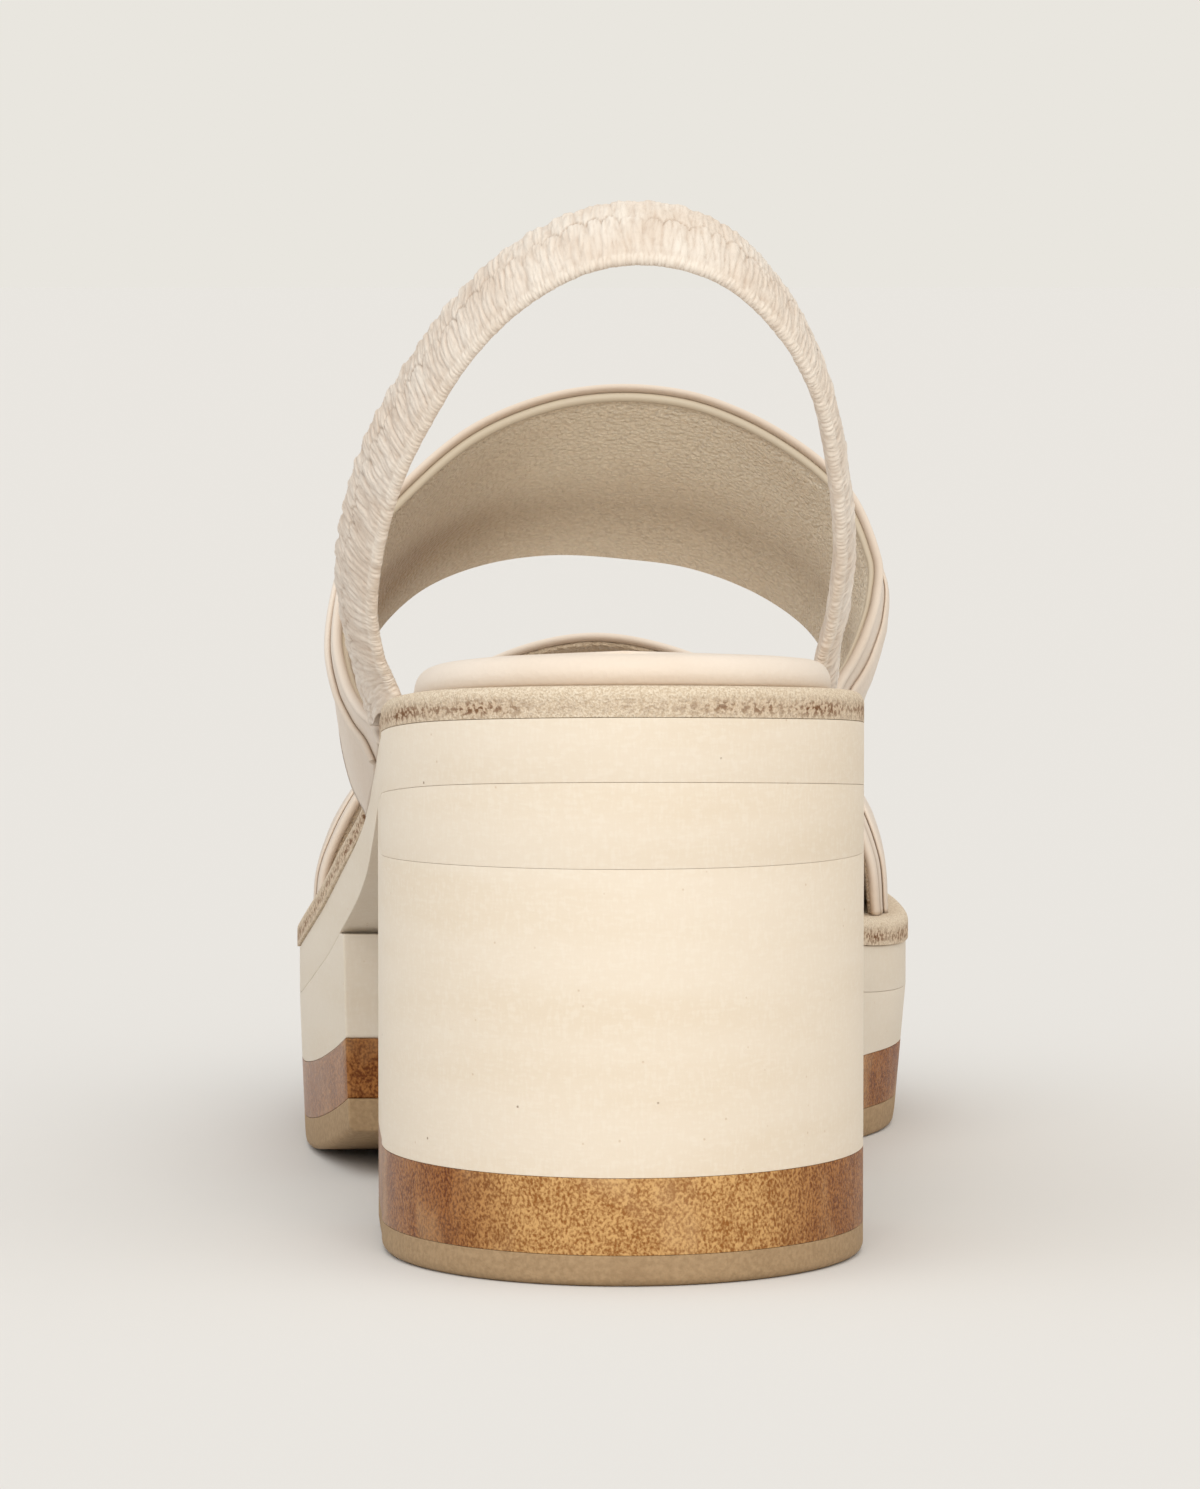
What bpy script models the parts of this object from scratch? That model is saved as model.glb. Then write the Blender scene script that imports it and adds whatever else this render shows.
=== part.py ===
"""A platform sandal with a block heel, two wide straps and an elastic slingback; left foot.

Every size below is in millimetres: Y runs from the back of the heel (0) to the tip of the toe,
+X is the medial side and Z is the height above the floor. The meshes are made in metres, with
the origin under the middle of the sole. Sole and heel are lofts across the shoe between the
sole's outline and the heights of their seams. The straps are lofts of a thin wall's section.
"""
import bisect
import math

import bmesh
import bpy
import numpy as np

MM = 0.001
COLLECTION = "platform_slingback_sandal"
GAP = 0.3                   # clearance that neighbouring pieces keep
EASE = 0.4                  # chamfer on the edges of the sole's layers

# Sole: the outline is a breadth on each side of the axis, rounded off at heel and toe.
LENGTH = 243.0
HEEL_ROUND = 38.0           # length of the heel's half ellipse
TOE_ROUND = {-1: 64.0, 1: 56.0}
TOE_POWER = 2.3             # 2 would be an ellipse; more is squarer
BREADTH = (                 # y, lateral, medial
    (0, 30.8, 31.2),
    (38, 30.8, 31.2),
    (50, 31.2, 30.0),
    (70, 32.0, 27.7),
    (85, 33.0, 26.6),
    (97, 34.5, 26.4),
    (111, 37.7, 27.4),
    (125, 40.8, 29.5),
    (140, 43.4, 33.2),
    (152, 44.4, 37.6),
    (164, 44.4, 42.2),
    (176, 43.8, 44.4),
    (190, 42.6, 44.2),
    (205, 41.0, 42.8),
    (222, 39.0, 40.4),
    (243, 37.0, 37.5),
)
SEAT = (                    # y, height of the midsole's top with no toe spring
    (0, 70.9),
    (20, 69.3),
    (40, 67.3),
    (60, 63.6),
    (80, 57.4),
    (95, 50.4),
    (110, 42.7),
    (125, 35.7),
    (145, 29.6),
    (165, 27.6),
    (185, 27.6),
    (243, 27.6),
)
MIDSOLE = ((0, 8.0), (60, 7.5), (110, 7.1), (150, 6.7), (243, 6.7))       # y, thickness
BOARD = 4.0                 # insole board
FOOTBED = 3.9               # padded footbed
FOOTBED_CROWN = 0.3
FOOTBED_EDGE = (            # y, inset from the sole's edge: lateral, medial
    (0, 4.3, 4.3),
    (120, 4.3, 4.3),
    (135, 4.4, 4.4),
    (152, 5.0, 5.9),
    (175, 5.0, 6.1),
    (200, 5.0, 6.1),
    (215, 4.6, 4.8),
    (243, 4.4, 4.4),
)
RUBBER = 4.5
RUNNER = 8.0                # brown leather band under the platform

# Forefoot tread: flat between two heights of y, a rocker behind it and the toe spring ahead.
FLAT_BACK = 153.0
FLAT_FRONT = 175.0
ROCKER_RADIUS = 148.0
SPRING_RADIUS = 290.0
PLATFORM_BACK = 109.0
PLATFORM_DRAFT = 1.3        # how far the platform's wall leans in down to the tread
DRAFT_SKEW = 0.5            # more than that on the medial side, less on the lateral

# Heel: four pieces below the midsole.
HEEL_BREAST = 61.0
WEDGE_BOTTOM = 52.0
WEDGE_FALL = 0.04
LIFT_TOP = 13.6
TOP_PIECE = 3.95

# Straps: walls of this thickness, and where their feet stand on the sole.
STRAP = 2.4
NOTCH = STRAP + GAP         # the board is cut back for the instep band's feet
NOTCH_SPAN = (66.5, 101.5)
NOTCH_RAMP = 1.5
INSTEP_FEET = {-1: (69.5, 97.5), 1: (69.5, 97.0)}
INSTEP_FOOT_INSET = {-1: 0.0, 1: 0.0}
TOE_FEET = {-1: (150.0, 203.0), 1: (166.5, 206.0)}
TOE_FOOT_INSET = {-1: 1.9, 1: 3.0}
SLING_WIDTH = 12.0
SLING_THICKNESS = 2.7
SLING_FOOT_INSET = 2.0

INSTEP_REAR = (             # x, y, z of the outer face's rear edge, lateral foot to medial foot
    (-35.2, 75.5, 69.5),
    (-37.8, 85.0, 78.0),
    (-36.2, 95.0, 87.6),
    (-30.2, 104.5, 95.6),
    (-20.0, 113.5, 104.2),
    (-9.0, 118.5, 108.8),
    (2.0, 120.0, 110.2),
    (13.0, 118.8, 108.7),
    (24.0, 113.5, 103.7),
    (32.4, 105.5, 96.6),
    (36.6, 95.0, 87.4),
    (35.6, 85.5, 79.3),
    (32.0, 76.0, 70.5),
)
INSTEP_FRONT = (            # x, y, z of its front edge
    (-36.0, 103.0, 55.3),
    (-37.3, 113.0, 60.8),
    (-37.7, 123.0, 65.8),
    (-36.8, 133.5, 71.0),
    (-33.4, 143.0, 76.7),
    (-27.0, 152.0, 81.8),
    (-18.0, 158.5, 85.0),
    (-8.0, 161.3, 86.2),
    (2.5, 160.5, 85.6),
    (12.5, 158.0, 84.2),
    (22.0, 152.8, 80.8),
    (29.0, 146.0, 76.2),
    (33.0, 136.0, 71.0),
    (34.0, 122.0, 63.6),
    (31.0, 105.5, 55.5),
)
TOE_REAR = (
    (-41.3, 151.5, 40.0),
    (-39.4, 154.0, 45.0),
    (-35.8, 158.5, 50.6),
    (-29.0, 167.0, 59.4),
    (-18.0, 178.0, 68.2),
    (-2.0, 185.0, 72.1),
    (14.0, 182.5, 68.8),
    (26.0, 177.0, 60.4),
    (35.2, 171.5, 49.3),
    (39.8, 168.0, 40.0),
)
TOE_FRONT = (
    (-35.4, 203.5, 43.0),
    (-31.0, 208.0, 50.5),
    (-21.0, 214.5, 56.8),
    (-8.0, 219.0, 59.2),
    (6.0, 220.0, 59.2),
    (20.0, 217.0, 56.8),
    (31.0, 211.5, 50.5),
    (37.0, 207.0, 43.0),
)
BAND_SECTION = (            # share of the band's width from its rear edge, height over the wall
    (0.0, -0.5),
    (0.01, 0.3),
    (0.05, 0.5),
    (0.1, 0.1),
    (0.5, 0.0),
    (0.93, 0.1),
    (0.98, 0.2),
    (1.0, -0.5),
    (1.0, -STRAP + 0.5),
    (0.98, -STRAP),
    (0.5, -STRAP),
    (0.02, -STRAP),
    (0.0, -STRAP + 0.5),
)
INSTEP_CROWN = 1.0          # how far the middle of the band's width swells out
TOE_CROWN = 2.2
FOOT_FADE = 0.5             # share of a band's length over which its feet's curve fades out

SLING = (                   # x, y, z, turn and climb of the width's direction in degrees
    (-30.9, 50.9, 73.8, -14, 0),
    (-33.2, 49.4, 78.0, -18, 15),
    (-34.1, 45.4, 85.0, -21, 27),
    (-33.0, 39.0, 93.5, -20, 30),
    (-30.3, 32.8, 102.5, -18, 29),
    (-26.1, 27.7, 110.3, -14, 28),
    (-20.1, 22.6, 118.0, -10, 28),
    (-13.0, 18.3, 125.0, -7, 29),
    (-4.7, 15.5, 129.7, -3, 30),
    (4.0, 14.6, 130.7, 0, 30),
    (12.5, 15.4, 127.9, 2, 28),
    (19.6, 18.1, 121.1, 3, 24),
    (24.7, 22.6, 112.0, 4, 20),
    (27.5, 28.2, 102.0, 4, 18),
    (28.6, 34.8, 91.5, 4, 18),
    (28.6, 43.4, 82.0, 3, 16),
    (28.2, 48.8, 75.2, 2, 4),
)
SLING_FEET = {-1: 51.0, 1: 51.0}
SLING_SECTION = (           # shares of half the width and of half the thickness
    (-1.0, -0.4),
    (-1.0, 0.4),
    (-0.86, 1.0),
    (0.0, 1.0),
    (0.86, 1.0),
    (1.0, 0.4),
    (1.0, -0.4),
    (0.86, -1.0),
    (0.0, -1.0),
    (-0.86, -1.0),
)

SOLE_STEPS = 52
FOREFOOT_STEPS = 24
HEEL_STEPS = 16
BAND_STEPS = 38
SLING_STEPS = 46

FINISHES = {                # base colour, roughness
    "painted_cream": ((0.82, 0.70, 0.54), 0.55),
    "cream_leather": ((0.80, 0.68, 0.56), 0.45),
    "raw_leather": ((0.56, 0.43, 0.29), 0.8),
    "brown_leather": ((0.38, 0.18, 0.06), 0.45),
    "tan_rubber": ((0.36, 0.25, 0.14), 0.7),
}


def smooth(keys, values, at):
    """Value at one key of a smooth curve: cubic pieces that share their slopes."""
    last = len(keys) - 1
    i = min(max(bisect.bisect_right(keys, at) - 1, 0), last - 1)
    span = keys[i + 1] - keys[i]
    t = (at - keys[i]) / span
    slopes = []
    for j in (i, i + 1):
        low = max(j - 1, 0)
        high = min(j + 1, last)
        slopes.append((values[high] - values[low]) / (keys[high] - keys[low]))
    start = (2 * t**3 - 3 * t**2 + 1) * values[i] + (t**3 - 2 * t**2 + t) * span * slopes[0]
    end = (3 * t**2 - 2 * t**3) * values[i + 1] + (t**3 - t**2) * span * slopes[1]
    return start + end


def read_table(rows, at, column=1):
    """One column of a table whose first column is y, read at any y."""
    keys = [row[0] for row in rows]
    values = [row[column] for row in rows]
    return smooth(keys, values, at)


def breadth(y, side):
    """Half breadth of the sole on one side: the table, rounded off at heel and toe."""
    value = read_table(BREADTH, y, 1 if side < 0 else 2)
    if y < HEEL_ROUND:
        value *= math.sqrt(max(0.0, 1 - (1 - y / HEEL_ROUND) ** 2))
    ahead = y - (LENGTH - TOE_ROUND[side])
    if ahead > 0:
        value *= max(0.0, 1 - (ahead / TOE_ROUND[side]) ** TOE_POWER) ** (1 / TOE_POWER)
    return value


def tread(y):
    """Height of the forefoot's tread: rocker, flat and toe spring."""
    if y < FLAT_BACK:
        return ROCKER_RADIUS - math.sqrt(ROCKER_RADIUS**2 - (FLAT_BACK - y) ** 2)
    if y > FLAT_FRONT:
        return SPRING_RADIUS - math.sqrt(SPRING_RADIUS**2 - (y - FLAT_FRONT) ** 2)
    return 0.0


def seat(y):
    """Top of the midsole, where the insole board lies."""
    spring = tread(y) if y > FLAT_FRONT else 0.0
    return read_table(SEAT, y) + spring


def board_top(y):
    """Top of the insole board."""
    return seat(y) + BOARD


def raised(height, y, depth):
    """A height moved up by a depth that is measured square to its slope."""
    slope = (height(y + 0.5) - height(y - 0.5))
    return height(y) + depth * math.hypot(1, slope)


def midsole_bottom(y):
    """Underside of the midsole: the shank's arch between heel and platform."""
    return raised(seat, y, -read_table(MIDSOLE, y))


def rubber_top(y):
    """Seam between the forefoot's rubber and its leather runner."""
    return raised(tread, y, RUBBER)


def runner_top(y):
    """Seam between the runner and the platform's block."""
    return raised(tread, y, RUBBER + RUNNER)


def wedge_bottom(y):
    """Seam between the heel's wedge and its block."""
    return WEDGE_BOTTOM - WEDGE_FALL * y


def level(z):
    """A height function that is the same everywhere."""
    return lambda y: z


def same(inset):
    """An inset that is the same all round."""
    return lambda y, side: inset


def plus(inset, more):
    """An inset function with a fixed amount added."""
    return lambda y, side: inset(y, side) + more


def lowered(height, drop):
    """A height function moved down."""
    return lambda y: height(y) - drop


def whole_stations(count):
    """Values of y from heel to toe, closer together round both ends."""
    turns = [math.pi * i / count for i in range(count + 1)]
    return [LENGTH * (1 - math.cos(turn)) / 2 for turn in turns]


def forefoot_stations(count):
    """Values of y from the platform's rear face to the toe, closer together at the toe."""
    reach = LENGTH - PLATFORM_BACK
    values = [PLATFORM_BACK + reach * math.sin(math.pi / 2 * i / count) for i in range(count + 1)]
    for edge in (FLAT_BACK, FLAT_FRONT):
        nearest = min(range(len(values)), key=lambda i: abs(values[i] - edge))
        values[nearest] = edge
    return values


def heel_stations(count):
    """Values of y from the heel's back to its breast, closer together at the back."""
    return [HEEL_BREAST * (1 - math.cos(math.pi / 2 * i / count)) for i in range(count + 1)]


def inset_line(stations, side, inset):
    """The sole's edge on one side, moved inwards square to itself by inset(y, side)."""
    edge = [np.array((side * breadth(y, side), y)) for y in stations]
    last = len(edge) - 1
    line = []
    for i, point in enumerate(edge):
        along = edge[min(i + 1, last)] - edge[max(i - 1, 0)]
        if abs(point[0]) < 1e-6:
            along = np.array((side if i == 0 else -side, 0.0))
        inward = np.array((-side * along[1], side * along[0])) / np.hypot(*along)
        line.append(point + inward * inset(stations[i], side))
    if breadth(stations[0], side) > 1:
        line[0][1] = stations[0]
    if breadth(stations[-1], side) > 1:
        line[-1][1] = stations[-1]
    return line


def layer_rings(stations, rows, crown=0.0):
    """Rings across a layer of the sole; a row is an inset and a height function, bottom to top."""
    insets = []
    for inset, height in rows:
        insets.append(inset if callable(inset) else same(inset))
    lines = {}
    for side in (-1, 1):
        lines[side] = [inset_line(stations, side, inset) for inset in insets]
    rings = []
    for i, y in enumerate(stations):
        ring = []
        for k, (inset, height) in enumerate(rows):
            x, at = lines[-1][k][i]
            ring.append((x, at, height(at)))
        if crown:
            x_low = lines[-1][-1][i][0]
            x_high = lines[1][-1][i][0]
            at = lines[-1][-1][i][1]
            for share in (0.3, 0.7):
                ring.append((x_low + (x_high - x_low) * share, at, rows[-1][1](at) + crown))
        for k in reversed(range(len(rows))):
            x, at = lines[1][k][i]
            ring.append((x, at, rows[k][1](at)))
        rings.append(ring)
    return rings


def world(point):
    """A point of the tables in metres, with the origin under the middle of the sole."""
    return (point[0] * MM, (point[1] - LENGTH / 2) * MM, point[2] * MM)


def is_edge(ring):
    """Whether a ring has shrunk to one upright edge, as at the tip of the heel or toe."""
    return max(point[0] for point in ring) - min(point[0] for point in ring) < 1e-4


def add_loft(name, rings, finish):
    """One closed solid through a row of rings that have equal counts of points."""
    shape = bmesh.new()
    rows = [[shape.verts.new(world(point)) for point in ring] for ring in rings]
    count = len(rows[0])
    for low, high in zip(rows, rows[1:]):
        for k in range(count):
            after = (k + 1) % count
            shape.faces.new((low[k], low[after], high[after], high[k]))
    for ring, row in ((rings[0], rows[0]), (rings[-1], rows[-1])):
        if not is_edge(ring):
            shape.faces.new(row)
    bmesh.ops.remove_doubles(shape, verts=shape.verts, dist=1e-7)
    bmesh.ops.triangulate(shape, faces=shape.faces)
    bmesh.ops.recalc_face_normals(shape, faces=shape.faces)
    mesh = bpy.data.meshes.new(name)
    shape.to_mesh(mesh)
    shape.free()
    mesh.shade_smooth()
    mesh.set_sharp_from_angle(angle=math.radians(35))
    mesh.materials.append(bpy.data.materials[finish])
    piece = bpy.data.objects.new(name, mesh)
    bpy.data.collections[COLLECTION].objects.link(piece)
    return piece


def block_rows(bottom, top, low_inset=same(0.0), high_inset=same(0.0)):
    """Rows of a plain layer between two heights, its edges eased by a small chamfer."""
    return [
        (plus(low_inset, EASE), bottom),
        (low_inset, lowered(bottom, -EASE)),
        (high_inset, lowered(top, GAP + EASE)),
        (plus(high_inset, EASE), lowered(top, GAP)),
    ]


def draft(share):
    """How far the platform's wall leans in at a share of its depth below the midsole."""

    def value(y, side):
        skew = DRAFT_SKEW * side * min(1.0, breadth(y, side) / BREADTH[0][1])
        return (PLATFORM_DRAFT + skew) * share

    return value


def add_forefoot():
    """Rubber tread, leather runner and painted block: the platform under the ball and toes."""
    stations = forefoot_stations(FOREFOOT_STEPS)
    depth = midsole_bottom(FLAT_FRONT)
    at_rubber = draft(1 - RUBBER / depth)
    at_runner = draft(1 - (RUBBER + RUNNER) / depth)
    rubber_rows = [
        (plus(draft(1.0), 1.0), tread),
        (plus(draft(1.0), 0.2), lowered(tread, -0.8)),
        (at_rubber, lowered(rubber_top, GAP)),
    ]
    add_loft("forefoot_outsole", layer_rings(stations, rubber_rows), "tan_rubber")
    runner_rows = block_rows(rubber_top, runner_top, at_rubber, at_runner)
    add_loft("forefoot_runner", layer_rings(stations, runner_rows), "brown_leather")
    block = block_rows(runner_top, midsole_bottom, at_runner)
    add_loft("platform_block", layer_rings(stations, block), "painted_cream")


def add_heel():
    """The heel's wedge and block, its leather lift and the rubber top piece it treads on."""
    stations = heel_stations(HEEL_STEPS)
    add_loft(
        "heel_wedge",
        layer_rings(stations, block_rows(wedge_bottom, midsole_bottom)),
        "painted_cream",
    )
    add_loft(
        "heel_block",
        layer_rings(stations, block_rows(level(LIFT_TOP), wedge_bottom)),
        "painted_cream",
    )
    add_loft(
        "heel_lift",
        layer_rings(stations, block_rows(level(TOP_PIECE), level(LIFT_TOP))),
        "brown_leather",
    )
    tread_rows = [
        (1.2, level(0.0)),
        (0.4, level(0.7)),
        (0.0, level(1.6)),
        (0.2, level(TOP_PIECE - GAP)),
    ]
    add_loft("heel_top_piece", layer_rings(stations, tread_rows), "tan_rubber")


def board_inset(inset):
    """The board's inset at y: its own, and the notch that lets the instep band's feet through."""
    start, end = NOTCH_SPAN

    def value(y, side):
        ramp = min((y - start) / NOTCH_RAMP, (end - y) / NOTCH_RAMP, 1.0)
        return inset + NOTCH * max(ramp, 0.0)

    return value


def footbed_edge(y, side):
    """The footbed's inset: it leaves room for the toe band's feet."""
    return read_table(FOOTBED_EDGE, y, 1 if side < 0 else 2)


def notched_stations(count):
    """Stations of the whole sole with the notch's corners among them."""
    start, end = NOTCH_SPAN
    corners = [start, start + NOTCH_RAMP, end - NOTCH_RAMP, end]
    kept = [y for y in whole_stations(count) if min(abs(y - c) for c in corners) > 1.2]
    return sorted(kept + corners)


def add_sole():
    """Midsole, insole board with its raw edge, and the padded footbed on top."""
    stations = whole_stations(SOLE_STEPS)
    add_loft("midsole", layer_rings(stations, block_rows(midsole_bottom, seat)), "painted_cream")
    board_rows = [
        (board_inset(0.0), seat),
        (board_inset(0.0), lowered(board_top, 1.4)),
        (board_inset(0.4), lowered(board_top, 0.4)),
        (board_inset(1.4), board_top),
    ]
    rings = layer_rings(notched_stations(SOLE_STEPS), board_rows)
    add_loft("insole_board", rings, "raw_leather")
    footbed_rows = [
        (plus(footbed_edge, 0.8), lowered(board_top, -GAP)),
        (footbed_edge, lowered(board_top, -GAP - 1.0)),
        (plus(footbed_edge, 0.5), lowered(board_top, 1.5 - FOOTBED)),
        (plus(footbed_edge, 1.9), lowered(board_top, 0.4 - FOOTBED)),
        (plus(footbed_edge, 4.2), lowered(board_top, -FOOTBED)),
    ]
    rings = layer_rings(stations, footbed_rows, FOOTBED_CROWN)
    add_loft("footbed", rings, "cream_leather")


def foot_point(y, side, inset, base):
    """Where a strap's outer face stands on the sole."""
    line = inset_line([y - 1, y, y + 1], side, same(inset))
    return np.array((line[1][0], y, base(y) + GAP))


def even_points(points, count):
    """Evenly spaced points on a smooth curve through a row of points."""
    points = [np.array(point, dtype=float) for point in points]
    keys = [0.0]
    for low, high in zip(points, points[1:]):
        keys.append(keys[-1] + float(np.linalg.norm(high[:3] - low[:3])))
    fine = [smooth(keys, points, keys[-1] * i / 400) for i in range(401)]
    run = [0.0]
    for low, high in zip(fine, fine[1:]):
        run.append(run[-1] + float(np.linalg.norm(high[:3] - low[:3])))
    columns = np.array(fine).T
    wanted = [run[-1] * i / count for i in range(count + 1)]
    return np.array([np.interp(wanted, run, column) for column in columns]).T


def unit(vectors):
    """Vectors of length one."""
    return vectors / np.linalg.norm(vectors, axis=-1, keepdims=True)


def outward_normals(grid):
    """Normals of a grid of points whose first axis crosses the foot from lateral to medial."""
    across = np.gradient(grid, axis=0)
    ahead = np.gradient(grid, axis=1)
    return unit(np.cross(across, ahead))


def band_grid(rear, front, feet, inset, base, crown, shares):
    """A band's outer face: straight across its width, swollen, and standing on curved feet."""
    steps = len(rear)
    place = np.linspace(0, 1, steps)[:, None, None]
    width = np.array(shares)[None, :, None]
    ruled = rear[:, None, :] * (1 - width) + front[:, None, :] * width
    grid = ruled.copy()
    for side, end in ((-1, 0), (1, -1)):
        start, stop = feet[side]
        foot = np.array([foot_point(start + (stop - start) * s, side, inset[side], base) for s in shares])
        distance = place if end == 0 else 1 - place
        near = np.clip(1 - distance / FOOT_FADE, 0, 1)
        fade = near**2 * (3 - 2 * near)
        grid = grid + fade * (foot - ruled[end])[None, :, :]
    swell = crown * 4 * width * (1 - width) * np.clip(np.sin(np.pi * place) * 3, 0, 1)
    return grid + swell * outward_normals(ruled)


def add_band(name, rear_rows, front_rows, feet, inset, base, crown):
    """One wide strap over the foot: a thin wall with rolled edges, open at both ends below."""
    edges = []
    for rows, pick in ((rear_rows, 0), (front_rows, 1)):
        ends = [foot_point(feet[side][pick], side, inset[side], base) for side in (-1, 1)]
        edges.append(even_points([ends[0], *rows, ends[1]], BAND_STEPS))
    shares = sorted({share for share, height in BAND_SECTION})
    grid = band_grid(edges[0], edges[1], feet, inset, base, crown, shares)
    normals = outward_normals(grid)
    for end in (0, -1):
        normals[end, :, 2] = 0
    normals = unit(normals)
    rings = []
    for i in range(BAND_STEPS + 1):
        ring = []
        for share, height in BAND_SECTION:
            k = shares.index(share)
            ring.append(grid[i, k] + normals[i, k] * height)
        rings.append(ring)
    for ring in (rings[0], rings[-1]):
        for point in ring:
            point[2] = base(point[1]) + GAP
    add_loft(name, rings, "cream_leather")


def add_sling():
    """The elastic slingback: one ribbon from the lateral side of the heel round to the medial."""
    path = []
    for side in (-1, 1):
        y = SLING_FEET[side]
        x = foot_point(y, side, SLING_FOOT_INSET, board_top)[0]
        path.append((x, y, board_top(y) + GAP, 6 * side, -11))
    rows = even_points([path[0], *SLING, path[1]], SLING_STEPS)
    along = unit(np.gradient(rows[:, :3], axis=0))
    along[0] = (0, 0, 1)
    along[-1] = (0, 0, -1)
    turn = np.radians(rows[:, 3])
    climb = np.radians(rows[:, 4])
    width = np.array([np.sin(turn) * np.cos(climb), np.cos(turn) * np.cos(climb), np.sin(climb)]).T
    width = unit(width - along * np.sum(width * along, axis=1)[:, None])
    normal = np.cross(along, width)
    rings = []
    for i, row in enumerate(rows):
        ring = []
        for across, over in SLING_SECTION:
            offset = width[i] * across * SLING_WIDTH / 2 + normal[i] * over * SLING_THICKNESS / 2
            ring.append(row[:3] + offset)
        rings.append(ring)
    for ring in (rings[0], rings[-1]):
        for point in ring:
            point[2] = board_top(point[1]) + GAP
    add_loft("sling_strap", rings, "cream_leather")


def add_finishes():
    """A Principled material for each finish."""
    for name, (colour, roughness) in FINISHES.items():
        material = bpy.data.materials.new(name)
        material.use_nodes = True
        shader = material.node_tree.nodes["Principled BSDF"]
        shader.inputs["Base Color"].default_value = (*colour, 1)
        shader.inputs["Roughness"].default_value = roughness
        shader.inputs["Metallic"].default_value = 0.0


for old in list(bpy.data.objects):
    bpy.data.objects.remove(old)
bpy.context.scene.collection.children.link(bpy.data.collections.new(COLLECTION))
add_finishes()
add_forefoot()
add_heel()
add_sole()
add_band("instep_band", INSTEP_REAR, INSTEP_FRONT, INSTEP_FEET, INSTEP_FOOT_INSET, seat, INSTEP_CROWN)
add_band("toe_band", TOE_REAR, TOE_FRONT, TOE_FEET, TOE_FOOT_INSET, board_top, TOE_CROWN)
add_sling()
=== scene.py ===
"""A cream leather platform sandal for the left foot: a stacked sole on a block heel, two wide
pleated bands over the foot and a ruched elastic slingback.

The tables are in millimetres: y runs from the heel's back (0) to the tip of the toe, +x is the
medial side and z is the height above the floor. Meshes are put in metres as they are made.
"""
import math

import bmesh
import bpy
import numpy as np
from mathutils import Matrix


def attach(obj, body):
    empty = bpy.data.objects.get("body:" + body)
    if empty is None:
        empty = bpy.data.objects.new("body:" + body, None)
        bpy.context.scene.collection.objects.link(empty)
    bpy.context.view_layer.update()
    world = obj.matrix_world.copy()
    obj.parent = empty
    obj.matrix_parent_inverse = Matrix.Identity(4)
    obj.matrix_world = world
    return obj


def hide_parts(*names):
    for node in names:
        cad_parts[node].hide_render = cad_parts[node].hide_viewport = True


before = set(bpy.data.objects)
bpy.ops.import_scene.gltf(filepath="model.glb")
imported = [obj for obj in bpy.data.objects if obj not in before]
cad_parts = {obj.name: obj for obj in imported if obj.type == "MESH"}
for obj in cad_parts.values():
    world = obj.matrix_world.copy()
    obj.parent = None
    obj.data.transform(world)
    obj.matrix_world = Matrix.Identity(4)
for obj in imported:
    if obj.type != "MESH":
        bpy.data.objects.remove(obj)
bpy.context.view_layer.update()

# ---- Forefoot outsole ----
# The rubber sole under ball and toes: tan crepe-like rubber 4.5 mm thick, cut to the outline
# and glued on. Its tread is flat under the ball, rolls up behind it and springs up to the toe.

LENGTH = 243.0
HEEL_ROUND = 38.0
TOE_ROUND = {-1: 64.0, 1: 56.0}
TOE_POWER = 2.3
BREADTH = (  # y, lateral, medial
    (0, 30.8, 31.2), (38, 30.8, 31.2), (50, 31.2, 30.0), (70, 32.0, 27.7), (85, 33.0, 26.6),
    (97, 34.5, 26.4), (111, 37.7, 27.4), (125, 40.8, 29.5), (140, 43.4, 33.2),
    (152, 44.4, 37.6), (164, 44.4, 42.2), (176, 43.8, 44.4), (190, 42.6, 44.2),
    (205, 41.0, 42.8), (222, 39.0, 40.4), (243, 37.0, 37.5),
)
RUBBER = 4.5
FLAT_BACK = 153.0
FLAT_FRONT = 175.0
ROCKER_RADIUS = 148.0
SPRING_RADIUS = 290.0
PLATFORM_BACK = 109.0
PLATFORM_DRAFT = 1.3
DRAFT_SKEW = 0.5
PLATFORM_DEPTH = 20.9
PLATFORM_RIM = 0.35
TREAD_RIM = 1.1
CUT_RIM = 0.08  # rounding of a cut edge beside a seam
RIM_FACE = 0.4  # how far the flat faces beside a rounded rim are drawn before their next row
SEAM = 0.04  # the hairline gap that shows between two glued layers
MM = 0.001
LEAN = 0.55  # how far the seat is lower on the lateral side and higher on the medial
LEAN_AT = 42.0
LEAN_REACH = 25.0
LEAN_HEIGHTS = (45.0, 95.0)
LEAN_RAMP = 15.0


def curve_at(keys, values, at):
    """A smooth curve through rows of values, read at any keys.

    Cubic pieces join the rows; the slope at a row is that of the chord between its neighbours.
    """
    keys = np.asarray(keys, float)
    values = np.asarray(values, float)
    at = np.asarray(at, float)
    rows = np.arange(len(keys))
    low = np.maximum(rows - 1, 0)
    high = np.minimum(rows + 1, len(keys) - 1)
    run = keys[high] - keys[low]
    i = np.clip(np.searchsorted(keys, at, side="right") - 1, 0, len(keys) - 2)
    span = keys[i + 1] - keys[i]
    t = (at - keys[i]) / span
    if values.ndim > 1:
        run = run[:, None]
        span = span[..., None]
        t = t[..., None]
    slopes = (values[high] - values[low]) / run
    start = (2 * t**3 - 3 * t**2 + 1) * values[i] + (t**3 - 2 * t**2 + t) * span * slopes[i]
    end = (3 * t**2 - 2 * t**3) * values[i + 1] + (t**3 - t**2) * span * slopes[i + 1]
    return start + end


def table_at(rows, at, column=1):
    """One column of a table whose first column is y, read as a smooth curve at any y."""
    rows = np.array(rows, float)
    return curve_at(rows[:, 0], rows[:, column], at)


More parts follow.
